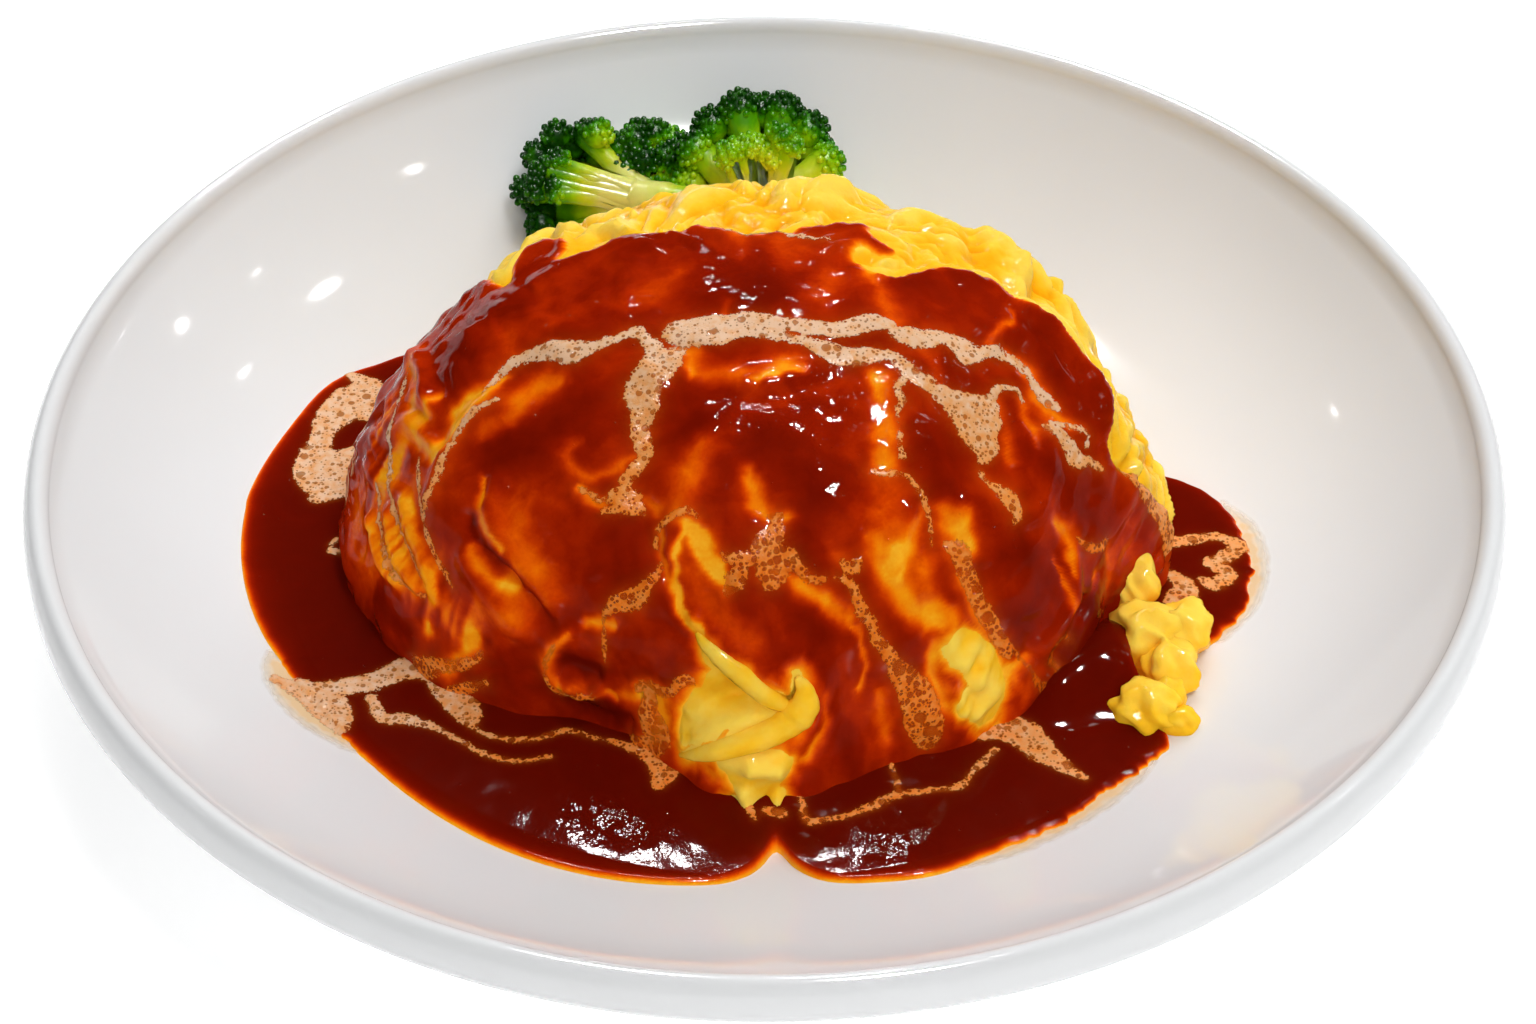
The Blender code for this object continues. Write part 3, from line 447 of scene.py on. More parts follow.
# Curds that slid off onto the plate: middle, half sizes along x, y and z, and turn in degrees
CURD_LUMPS = (
    ((0.0596, -0.0230, 0.0182), (0.0042, 0.0050, 0.0056), 10),
    ((0.0612, -0.0326, 0.0162), (0.0066, 0.0058, 0.0060), 8),
    ((0.0672, -0.0306, 0.0160), (0.0048, 0.0056, 0.0052), -10),
    ((0.0640, -0.0385, 0.0154), (0.0052, 0.0052, 0.0048), -35),
    ((0.0630, -0.0434, 0.0144), (0.0032, 0.0036, 0.0036), 0),
    ((0.0594, -0.0470, 0.0148), (0.0058, 0.0046, 0.0044), -14),
    ((0.0638, -0.0484, 0.0139), (0.0042, 0.0030, 0.0030), -25),
)


# Shapes that the pieces share


def near(degrees, middle, width):
    """A smooth bump of height 1 round one direction."""
    away = (degrees - middle + 180.0) % 360.0 - 180.0
    return np.exp(-((away / width) ** 2))


def well_top(radius):
    """Height of the plate's upper surface at a distance from its centre."""
    lip_radius = PLATE_RADIUS - LIP_WIDTH
    rise = np.maximum(0.0, (radius - WELL_FLAT_RADIUS) / (lip_radius - WELL_FLAT_RADIUS))
    return WELL_FLOOR + (PLATE_HEIGHT - LIP_RISE - WELL_FLOOR) * rise**WELL_POWER


def mound_radius(degrees, place):
    """Distance from the mound's axis, at a place from its top (0) to its foot (1)."""
    turn = np.radians(degrees)
    width = np.where(np.cos(turn) > 0, MOUND_RIGHT, MOUND_LEFT)
    depth = np.where(np.sin(turn) > 0, MOUND_BACK, MOUND_FRONT)
    smooth = width * depth / np.hypot(depth * np.cos(turn), width * np.sin(turn))
    tongue = TONGUE_REACH * near(degrees, -88, 15)
    hollow = HOLLOW_DEPTH * near(degrees, -118, 17)
    cheek = CHEEK_REACH * near(degrees, -60, 10)
    tuck = TUCK_DEPTH * near(degrees, -24, 9)
    shoulder = SHOULDER * near(degrees, 38, 24) * np.sin(np.pi * place)
    out = smooth * np.sin(place * np.pi / 2) ** (2 / MOUND_SQUARENESS)
    return out + (tongue - hollow + cheek - tuck) * place**3 + shoulder


def mound_skin(right, back):
    """Points of the bare mound, for places on its unrolled skin."""
    place = np.clip(np.hypot(right, back) / STEPS, 1e-4, 1.0)
    degrees = np.degrees(np.arctan2(back, right))
    out = mound_radius(degrees, place)
    x = MOUND_X + out * np.cos(np.radians(degrees))
    y = MOUND_Y + out * np.sin(np.radians(degrees))
    foot = well_top(np.hypot(x, y)) + GAP
    rise = np.maximum(0.0, np.cos(place * np.pi / 2)) ** (2 / MOUND_SQUARENESS)
    return np.column_stack((x, y, foot + (MOUND_TOP - foot) * rise))


def mound_outward(right, back):
    """Directions straight out of the bare mound."""
    inner = np.minimum(1.0, 0.985 * STEPS / np.maximum(np.hypot(right, back), 1e-6))
    u, v = right * inner, back * inner
    along = mound_skin(u + 0.6, v) - mound_skin(u - 0.6, v)
    across = mound_skin(u, v + 0.6) - mound_skin(u, v - 0.6)
    out = np.cross(along, across)
    return out / np.linalg.norm(out, axis=1, keepdims=True)


def smooth_line(points, closed=False, cuts=5):
    """A curve through points, with a few more between each two. Points may have any number of columns."""
    points = np.array(points, float)
    if closed:
        row = np.vstack((points[-1:], points, points[:2]))
    else:
        row = np.vstack((2 * points[0] - points[1], points, 2 * points[-1] - points[-2]))
    share = (np.arange(cuts) / cuts)[:, None]
    curve = []
    for before, start, end, after in zip(row, row[1:], row[2:], row[3:]):
        curve.append(0.5 * (
            2 * start
            + (end - before) * share
            + (2 * before - 5 * start + 4 * end - after) * share**2
            + (3 * start - before - 3 * end + after) * share**3
        ))
    curve.append(row[-2:-1])
    return np.vstack(curve)


def line_gap(x, y, line, reach=3.0):
    """For places near a line with half widths: how far past its edge, and how many half widths out."""
    curve = smooth_line(line)
    gap = np.full(len(x), 99.0)
    share = np.full(len(x), 99.0)
    widest = curve[:, 2].max()
    margin = reach * widest + 3.0
    close = (x > curve[:, 0].min() - margin) & (x < curve[:, 0].max() + margin)
    close &= (y > curve[:, 1].min() - margin) & (y < curve[:, 1].max() + margin)
    if not close.any():
        return gap, share
    px, py = x[close, None], y[close, None]
    ax, ay, aw = curve[:-1].T
    dx, dy, dw = np.diff(curve, axis=0).T
    along = np.clip(((px - ax) * dx + (py - ay) * dy) / (dx * dx + dy * dy + 1e-9), 0.0, 1.0)
    away = np.hypot(px - ax - along * dx, py - ay - along * dy)
    width = np.maximum(aw + along * dw, 0.05)
    gap[close] = (away - width).min(axis=1)
    share[close] = (away / width).min(axis=1)
    return gap, share


def glow(x, y, line):
    """1 on a line, fading softly with its half width."""
    return np.exp(-line_gap(x, y, line)[1] ** 2 * 0.7)


def lines_gap(x, y, lines):
    """How far outside the nearest of several lines: negative inside one."""
    gap = np.full(len(x), 99.0)
    for line in lines:
        gap = np.minimum(gap, line_gap(x, y, line)[0])
    return gap


def inside_outline(x, y, outline):
    """How far inside a closed outline: negative outside."""
    curve = smooth_line(outline, closed=True)
    ax, ay = curve[:-1].T
    dx, dy = np.diff(curve, axis=0).T
    inside = np.zeros(len(x))
    for start in range(0, len(x), 20000):
        px, py = x[start:start + 20000, None], y[start:start + 20000, None]
        along = np.clip(((px - ax) * dx + (py - ay) * dy) / (dx * dx + dy * dy + 1e-9), 0.0, 1.0)
        away = np.hypot(px - ax - along * dx, py - ay - along * dy).min(axis=1)
        crosses = (ay > py) != (ay + dy > py)
        beyond = px < ax + (py - ay) * dx / np.where(dy == 0, 1e-9, dy)
        within = (crosses & beyond).sum(axis=1) % 2 == 1
        inside[start:start + 20000] = np.where(within, away, -away)
    return inside


def wander(x, y, size, seed, octaves=1):
    """Smooth noise between about -1 and 1, with features about `size` across."""
    rows = np.column_stack((x / size, y / size, np.full(len(x), 7.3 * seed))).tolist()
    if octaves == 1:
        return np.array([noise.noise(row) for row in rows])
    return np.array([noise.fractal(row, 1.0, 2.0, octaves) for row in rows])


# Heights of egg and sauce over the bare mound, in millimetres


def flank_ridges(right, back):
    """Fibrous ridges that run down the left flank: where they are, and their pattern."""
    place = glow(right, back, LEFT_FLANK)
    bend = np.degrees(np.arctan2(back, right)) % 360 * 1.3 + 4 * wander(right, back, 14, 26)
    return place, wander(bend, 0.22 * np.hypot(right, back), 2.6, 27, 2)


def coat_depth(right, back, inside):
    """Depth of sauce on the egg: negative where there is none."""
    inside = inside + 0.25 * wander(right, back, 2.5, 3)
    rim = np.clip(inside / 2.2, 0.0, 1.0)
    depth = 1.55 * np.sqrt(1 - (1 - rim) ** 2)
    u = right + 1.1 * wander(right, back, 5.0, 61, 2) + 0.4 * wander(right, back, 1.5, 62)
    v = back + 1.1 * wander(right, back, 5.0, 63, 2) + 0.4 * wander(right, back, 1.5, 64)
    for amount, line in THIN_SAUCE:
        depth -= 0.95 * amount * glow(u, v, line)
    for amount, line in THICK_SAUCE:
        depth += amount * glow(u, v, line)
    flank, ridges = flank_ridges(right, back)
    depth -= flank * (0.55 + 1.25 * ridges)
    depth += 0.34 * wander(right, back, 8.0, 5, 2) + 0.14 * wander(right, back, 2.6, 8)
    depth = np.maximum(depth, 0.14 + 0.12 * flank) * np.minimum(1.0, np.maximum(rim, 0.0) * 4)
    bare = lines_gap(u, v, BARE_EGG) + 0.35 * wander(right, back, 1.8, 11)
    depth = np.minimum(depth, np.where(bare > 0, 0.5, 0.85) * bare)
    return np.where(inside < 0, np.maximum(0.6 * inside, -1.6), np.maximum(depth, -1.6))


def egg_relief(right, back, covered, inside):
    """Height of the egg over the mound, and of its bumps and folds alone, which set the egg's painted shade; sauce
    fills the fine ones.
    """
    relief = 0.9 * wander(right, back, 13.0, 1, 2)
    for amount, line in EGG_FOLDS:
        relief += amount * glow(right, back, line)
    flank, ridges = flank_ridges(right, back)
    relief += 0.9 * flank * ridges
    back_part = np.clip((back + 0.35 * np.abs(right) + 6) / 16, 0.0, 1.0)
    out = np.hypot(right, back)
    side_part = np.clip((out - 50) / 20, 0.0, 1.0)
    degrees = np.degrees(np.arctan2(back, right))
    round_rim = 0.45 * degrees + 5 * wander(right, back, 11, 21)
    across = out + 0.3 * degrees + 5 * wander(right, back, 11, 22)
    folds = np.abs(wander(round_rim, across, 6.5, 23)) + 0.45 * np.abs(wander(round_rim, across, 3.0, 24))
    folds = (folds - 0.3) * 2.2
    relief += (0.25 + 1.4 * back_part + 0.3 * side_part) * (1 - 0.65 * covered) * folds
    beyond = np.clip(-inside / 7, 0.0, 1.0)
    on_left = np.clip((degrees - 135) / 10, 0.0, 1.0) * np.clip((out - 40) / 20, 0.0, 1.0)
    fall = np.interp(degrees, *np.array(BACK_DROP, float).T) * np.clip((103 - out) / 22, 0.0, 1.0)
    return relief - fall * np.maximum(beyond * beyond * (3 - 2 * beyond), on_left), relief + folds


def egg_and_depth(right, back):
    """Height of the egg's surface, depth of the sauce on it, and the egg's bumps and folds alone, for its painted
    shade.
    """
    inside = inside_outline(right, back, COAT_OUTLINE)
    depth = coat_depth(right, back, inside)
    covered = np.clip(depth + 1.0, 0.0, 1.0)
    height, shade_by_lumps = egg_relief(right, back, covered, inside)
    return height - 0.5 * np.clip(depth - 1.3, -1.3, 1.5), depth, shade_by_lumps


# Mesh helpers


def flat_grid(cells):
    """A square grid from -1 to 1 as a bmesh."""
    bm = bmesh.new()
    bmesh.ops.create_grid(bm, x_segments=cells, y_segments=cells, size=1.0)
    return bm


def coordinates(bm):
    return np.array([vert.co for vert in bm.verts])


def place_vertices(bm, points):
    for vert, point in zip(bm.verts, points.tolist()):
        vert.co = point


def disc_of(square):
    """Places of a square grid, moved so that the square fills the unrolled skin out to the foot."""
    a, b = square[:, 0], square[:, 1]
    wide = np.abs(a) > np.abs(b)
    far = np.where(wide, a, b)
    near_turn = np.pi / 4 * np.where(wide, b, a) / np.where(far == 0, 1.0, far)
    turn = np.where(wide, near_turn, np.pi / 2 - near_turn)
    return STEPS * far * np.cos(turn), STEPS * far * np.sin(turn)


def close_below(bm):
    """Close an open sheet's rims, each with one face."""
    rim = [edge for edge in bm.edges if edge.is_boundary]
    bmesh.ops.holes_fill(bm, edges=rim, sides=0)


def finish_piece(bm, name, nodes, look, fields=None):
    """A smooth-shaded object from a bmesh, riding on the part and standing for its nodes."""
    mesh = bpy.data.meshes.new(name)
    bm.to_mesh(mesh)
    bm.free()
    for field, values in (fields or {}).items():
        attribute = mesh.attributes.new(field, "FLOAT", "POINT")
        attribute.data.foreach_set("value", np.asarray(values, np.float32))
    mesh.shade_smooth()
    mesh.materials.append(look)
    piece = bpy.data.objects.new(name, mesh)
    bpy.context.scene.collection.objects.link(piece)
    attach(piece, BODY)
    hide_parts(*nodes)
    return piece


# Material helpers


def new_material(name):
    look = bpy.data.materials.new(name)
    look.use_nodes = True
    return look, look.node_tree, look.node_tree.nodes["Principled BSDF"]


def add_node(tree, kind, inputs=None, **settings):
    """A node with its settings, and its inputs set to a value or linked to another node's socket."""
    node = tree.nodes.new(kind)
    for name, value in settings.items():
        setattr(node, name, value)
    for name, value in (inputs or {}).items():
        if isinstance(value, bpy.types.NodeSocket):
            tree.links.new(value, node.inputs[name])
        else:
            node.inputs[name].default_value = value
    return node


def attribute_of(tree, name):
    return add_node(tree, "ShaderNodeAttribute", attribute_name=name).outputs["Fac"]


def colour(red, green, blue):
    """A colour given as screen values from 0 to 255, as the linear one that Blender takes."""
    made = []
    for value in (red, green, blue):
        share = value / 255
        made.append(share / 12.92 if share <= 0.04045 else ((share + 0.055) / 1.055) ** 2.4)
    return (*made, 1.0)


def ramp_of(tree, fac, stops):
    node = add_node(tree, "ShaderNodeValToRGB", {"Fac": fac})
    ramp = node.color_ramp
    while len(ramp.elements) > 1:
        ramp.elements.remove(ramp.elements[-1])
    ramp.elements[0].position, ramp.elements[0].color = stops[0]
    for position, tint in stops[1:]:
        ramp.elements.new(position).color = tint
    return node.outputs["Color"]


def object_noise(tree, scale, detail=2.0, roughness=0.5, stretch=(1, 1, 1)):
    place = add_node(tree, "ShaderNodeTexCoord").outputs["Object"]
    mapped = add_node(tree, "ShaderNodeMapping", {"Vector": place, "Scale": stretch}).outputs["Vector"]
    made = add_node(
        tree, "ShaderNodeTexNoise", {"Vector": mapped, "Scale": scale, "Detail": detail, "Roughness": roughness}
    )
    return made.outputs["Fac"]


def patches_group():
    """Soft patches of light and dark round nought, which all the food here shows, as one shader group."""
    found = bpy.data.node_groups.get("soft_patches")
    if found:
        return found
    group = bpy.data.node_groups.new("soft_patches", "ShaderNodeTree")
    for name in ("Scale", "Detail", "Amount"):
        group.interface.new_socket(name=name, in_out="INPUT", socket_type="NodeSocketFloat")
    group.interface.new_socket(name="Patches", in_out="OUTPUT", socket_type="NodeSocketFloat")
    given, made = group.nodes.new("NodeGroupInput"), group.nodes.new("NodeGroupOutput")
    place = add_node(group, "ShaderNodeTexCoord").outputs["Object"]
    inputs = {"Vector": place, "Scale": given.outputs["Scale"], "Detail": given.outputs["Detail"]}
    noisy = add_node(group, "ShaderNodeTexNoise", inputs).outputs["Fac"]
    level = maths(group, "MULTIPLY", maths(group, "SUBTRACT", noisy, 0.5), given.outputs["Amount"])
    group.links.new(level, made.inputs["Patches"])
    return group


def patches(tree, scale, detail, amount):
    inputs = {"Scale": scale, "Detail": detail, "Amount": amount}
    return add_node(tree, "ShaderNodeGroup", inputs, node_tree=patches_group()).outputs["Patches"]


def maths(tree, operation, first, second=0.0, clamp=False):
    node = add_node(tree, "ShaderNodeMath", operation=operation, use_clamp=clamp)
    for socket, value in zip(node.inputs, (first, second)):
        if isinstance(value, bpy.types.NodeSocket):
            tree.links.new(value, socket)
        else:
            socket.default_value = value
    return node.outputs["Value"]


# Pieces of mesh that more than one operator uses


def tube(points, sides=16, cuts=5, rough=0.0, seed=0):
    """A closed tapering tube along points that carry a radius, as a bmesh."""
    curve = smooth_line(points, cuts=cuts)
    bm = bmesh.new()
    bmesh.ops.create_grid(bm, x_segments=len(curve) - 1, y_segments=sides, size=1.0)
    square = coordinates(bm)
    ring = np.rint((square[:, 0] + 1) / 2 * (len(curve) - 1)).astype(int)
    turn = (square[:, 1] + 1) * np.pi
    along = np.gradient(curve[:, :3], axis=0)
    along /= np.linalg.norm(along, axis=1, keepdims=True)
    hint = np.array((0.3, -0.5, 0.81))
    side = np.cross(along, hint)
    side /= np.linalg.norm(side, axis=1, keepdims=True)
    up = np.cross(side, along)
    radius = np.maximum(curve[ring, 3], 1e-5)
    if rough:
        radius = radius * (1 + rough * wander(ring * 1.0, turn * 2, 3.0, seed))
    out = side[ring] * np.cos(turn)[:, None] + up[ring] * np.sin(turn)[:, None]
    place_vertices(bm, curve[ring, :3] + out * radius[:, None])
    bmesh.ops.remove_doubles(bm, verts=bm.verts, dist=1e-6)
    close_below(bm)
    bmesh.ops.recalc_face_normals(bm, faces=bm.faces)
    return bm


def join(parts):
    """Several bmeshes as one."""
    whole = bmesh.new()
    for part in parts:
        mesh = bpy.data.meshes.new("part")
        part.to_mesh(mesh)
        part.free()
        whole.from_mesh(mesh)
        bpy.data.meshes.remove(mesh)
    return whole


def cream_sheet(lines, spans, cell, place, seed=0, thick=0.14, ragged=0.45):
    """A thin sheet along lines, laid down by `place`, which is given two directions and a height."""
    (left, right), (front, back) = spans
    across = max(right - left, back - front)
    bm = flat_grid(int(across / (cell * 4)))
    flat = coordinates(bm)
    middle = ((left + right) / 2, (front + back) / 2)
    place_vertices(bm, np.column_stack((flat[:, :2] * across / 2 + middle, flat[:, 2])))
    centres = np.array([face.calc_center_median() for face in bm.faces])
    gap = lines_gap(centres[:, 0], centres[:, 1], lines)
    far = [face for face, away in zip(bm.faces, gap) if away > cell * 3 + 1.2]
    bmesh.ops.delete(bm, geom=far, context="FACES")
    bmesh.ops.subdivide_edges(bm, edges=bm.edges, cuts=3, use_grid_fill=True)
    flat = coordinates(bm)
    x, y = flat[:, 0], flat[:, 1]
    gap = lines_gap(x, y, lines)
    inside = 0.25 - gap - ragged * (wander(x, y, 1.6, seed + 31, 2) + 0.5 * wander(x, y, 4.0, seed + 32))
    lift = 0.07 + thick * np.sqrt(np.clip(inside / 0.9, 0, 1))
    rows = dict(zip(bm.verts, zip(x.tolist(), y.tolist(), lift.tolist(), inside.tolist())))
    lost = [face for face in bm.faces if all(rows[vert][3] < -1.15 for vert in face.verts)]
    bmesh.ops.delete(bm, geom=lost, context="FACES")
    kept = np.array([rows[vert] for vert in bm.verts])
    place_vertices(bm, place(*kept.T[:3]))
    bmesh.ops.recalc_face_normals(bm, faces=bm.faces)
    if sum(face.normal.z for face in bm.faces) < 0:
        bmesh.ops.reverse_faces(bm, faces=bm.faces)
    return bm, kept


# Materials that more than one piece uses


def sauce_look():
    found = bpy.data.materials.get("poured_sauce")
    if found:
        return found
    look, tree, shader = new_material("poured_sauce")
    depth = attribute_of(tree, "depth")
    froth = attribute_of(tree, "froth")
    pebbled = attribute_of(tree, "pebbles")
    place = add_node(tree, "ShaderNodeTexCoord").outputs["Object"]
    marbled = add_node(
        tree, "ShaderNodeTexNoise", {"Vector": place, "Scale": 190.0, "Detail": 4.0, "Distortion": 0.8}
    ).outputs["Fac"]
    fine = object_noise(tree, 1600, 2)
    uneven = maths(tree, "MULTIPLY", maths(tree, "SUBTRACT", marbled, 0.5), 0.2)
    grainy = maths(tree, "MULTIPLY", maths(tree, "SUBTRACT", fine, 0.5), 0.05)
    thickness = maths(tree, "ADD", maths(tree, "ADD", depth, uneven), grainy)
    tone = ramp_of(tree, thickness, BROTH)
    mist = maths(tree, "MULTIPLY", maths(tree, "MULTIPLY", froth, froth), maths(tree, "MULTIPLY", fine, 0.3))
    mixed = add_node(tree, "ShaderNodeMix", data_type="RGBA", blend_type="MIX")
    tree.links.new(mist, mixed.inputs["Factor"])
    tree.links.new(tone, mixed.inputs[6])
    mixed.inputs[7].default_value = colour(232, 110, 24)
    tree.links.new(mixed.outputs[2], shader.inputs["Base Color"])
    roll = object_noise(tree, 150, 1)
    crumple = object_noise(tree, 620, 2)
    cells = add_node(tree, "ShaderNodeTexVoronoi", {"Vector": place, "Scale": 520.0})
    pick = maths(tree, "MULTIPLY", cells.outputs["Color"], 0.15)
    dome = maths(tree, "SUBTRACT", pick, cells.outputs["Distance"])
    bead = maths(tree, "MULTIPLY", dome, 3.5, clamp=True)
    height = maths(tree, "ADD", maths(tree, "MULTIPLY", roll, 0.2), maths(tree, "MULTIPLY", bead, 0.8))
    bumps = maths(tree, "ADD", maths(tree, "MULTIPLY", roll, 1.9), maths(tree, "MULTIPLY", crumple, 0.5))
    height = maths(tree, "ADD", height, maths(tree, "MULTIPLY", bumps, pebbled))
    height = maths(tree, "ADD", height, maths(tree, "MULTIPLY", fine, 0.03))
    bump = add_node(tree, "ShaderNodeBump", {"Height": height, "Strength": 0.6, "Distance": 0.0006})
    tree.links.new(bump.outputs["Normal"], shader.inputs["Normal"])
    shader.inputs["Roughness"].default_value = 0.06
    shader.inputs["IOR"].default_value = 1.14
    shader.inputs["Specular IOR Level"].default_value = 0.38
    return look


BROTH = (
    (0.00, colour(254, 182, 40)),
    (0.05, colour(250, 156, 18)),
    (0.11, colour(244, 124, 6)),
    (0.17, colour(232, 94, 2)),
    (0.24, colour(208, 62, 1)),
    (0.32, colour(174, 38, 1)),
    (0.41, colour(142, 24, 1)),
    (0.55, colour(116, 16, 1)),
    (0.80, colour(94, 11, 1)),
    (1.00, colour(84, 9, 1)),
)


def cream_look():
    found = bpy.data.materials.get("cream_froth")
    if found:
        return found
    look, tree, shader = new_material("cream_froth")
    warmth = attribute_of(tree, "warmth")
    inside = attribute_of(tree, "inside")
    place = add_node(tree, "ShaderNodeTexCoord").outputs["Object"]
    open_froth = maths(tree, "ADD", maths(tree, "MULTIPLY", warmth, 0.6), 0.75)
    holes = []
    for scale, reach, floor in ((430.0, 0.95, 0.32), (850.0, 0.75, 0.12), (1700.0, 0.75, 0.10)):
        cells = add_node(tree, "ShaderNodeTexVoronoi", {"Vector": place, "Scale": scale})
        pick = maths(tree, "MULTIPLY", maths(tree, "SUBTRACT", cells.outputs["Color"], floor), reach)
        room = maths(tree, "SUBTRACT", maths(tree, "MULTIPLY", pick, open_froth), cells.outputs["Distance"])
        holes.append(maths(tree, "MULTIPLY", room, 10.0, clamp=True))
    hole = maths(tree, "MAXIMUM", holes[0], maths(tree, "MAXIMUM", holes[1], maths(tree, "MULTIPLY", holes[2], 0.8)))
    grain = object_noise(tree, 2600, 2)
    spread = maths(tree, "SUBTRACT", 0.52, maths(tree, "MULTIPLY", inside, 0.8))
    solid = maths(tree, "MULTIPLY", maths(tree, "SUBTRACT", grain, spread), 7.0, clamp=True)
    cover = maths(tree, "MULTIPLY", solid, maths(tree, "SUBTRACT", 1.0, maths(tree, "MULTIPLY", hole, 0.85)), clamp=True)
    film = maths(tree, "MULTIPLY", maths(tree, "MULTIPLY", inside, 1.4, clamp=True), 0.5)
    tree.links.new(maths(tree, "MAXIMUM", cover, film), shader.inputs["Alpha"])
    cloudy = patches(tree, 700, 3, 0.9)
    thin = maths(tree, "MULTIPLY", maths(tree, "SUBTRACT", 1.0, inside, clamp=True), 0.12)
    shade = maths(tree, "ADD", maths(tree, "ADD", warmth, cloudy), maths(tree, "ADD", thin, maths(tree, "MULTIPLY", hole, 0.3)))
    tint = ramp_of(tree, shade, (
        (0.0, colour(224, 182, 146)), (0.25, colour(222, 156, 96)), (0.5, colour(228, 140, 64)),
        (0.75, colour(226, 118, 32)), (1.0, colour(208, 88, 12)),
    ))
    tree.links.new(tint, shader.inputs["Base Color"])
    height = maths(tree, "SUBTRACT", maths(tree, "MULTIPLY", grain, 0.6), hole)
    bump = add_node(tree, "ShaderNodeBump", {"Height": height, "Strength": 0.5, "Distance": 0.0003})
    tree.links.new(bump.outputs["Normal"], shader.inputs["Normal"])
    shader.inputs["Roughness"].default_value = 0.2
    shader.inputs["Specular IOR Level"].default_value = 0.04
    return look


def egg_look():
    found = bpy.data.materials.get("cooked_egg")
    if found:
        return found
    look, tree, shader = new_material("cooked_egg")
    # Painted shade: the egg turns deeper orange in its creases and hollows, where its relief is low, and paler on its
    # ridges.
    relief = attribute_of(tree, "relief")
    shade = maths(tree, "ADD", maths(tree, "MULTIPLY", relief, 0.22), 0.62)
    cloudy = patches(tree, 230, 4, 0.9)
    tint = ramp_of(tree, maths(tree, "ADD", shade, cloudy), (
        (0.0, colour(244, 146, 6)), (0.3, colour(252, 174, 16)), (0.6, colour(255, 194, 38)), (1.0, colour(255, 212, 80)),
    ))
    tree.links.new(tint, shader.inputs["Base Color"])
    height = maths(tree, "ADD", object_noise(tree, 330, 3), maths(tree, "MULTIPLY", object_noise(tree, 1100, 2), 0.3))
    bump = add_node(tree, "ShaderNodeBump", {"Height": height, "Strength": 0.5, "Distance": 0.0005})
    tree.links.new(bump.outputs["Normal"], shader.inputs["Normal"])
    shader.inputs["Roughness"].default_value = 0.1
    shader.inputs["IOR"].default_value = 1.24
    shader.inputs["Specular IOR Level"].default_value = 0.12
    shader.inputs["Subsurface Weight"].default_value = 0.2
    shader.inputs["Subsurface Radius"].default_value = (1.0, 0.55, 0.08)
    shader.inputs["Subsurface Scale"].default_value = 0.004
    return look


class PlateSettings(bpy.types.PropertyGroup):
    turns: bpy.props.IntProperty(
        name="Steps round", description="Facets round the plate", default=256, min=64, max=320
    )
    tint: bpy.props.FloatVectorProperty(
        name="Glaze", description="Colour of the glaze", default=colour(224, 225, 226)[:3], subtype="COLOR", min=0, max=1
    )


class EggSettings(bpy.types.PropertyGroup):
    cells: bpy.props.IntProperty(
        name="Detail", description="Cells across the omelette", default=260, min=60, max=310
    )


class SauceSettings(bpy.types.PropertyGroup):
    cells: bpy.props.IntProperty(
        name="Detail", description="Cells across the coat of sauce", default=300, min=60, max=310
    )
    pool_steps: bpy.props.IntProperty(
        name="Pool steps", description="Steps round the pool", default=720, min=90, max=720
    )


class CreamSettings(bpy.types.PropertyGroup):
    cell: bpy.props.FloatProperty(
        name="Detail", description="Size of a cell of the froth, in millimetres", default=0.45, min=0.2, max=1.0
    )


class FloretSettings(bpy.types.PropertyGroup):
    bead: bpy.props.FloatProperty(
        name="Bud size", description="Radius of a bud on a floret", default=0.00072, unit="LENGTH"
    )


class OmuriceSettings(bpy.types.PropertyGroup):
    plate: bpy.props.PointerProperty(type=PlateSettings)
    egg: bpy.props.PointerProperty(type=EggSettings)
    sauce: bpy.props.PointerProperty(type=SauceSettings)
    cream: bpy.props.PointerProperty(type=CreamSettings)
    florets: bpy.props.PointerProperty(type=FloretSettings)


def settings():
    return bpy.context.scene.omurice


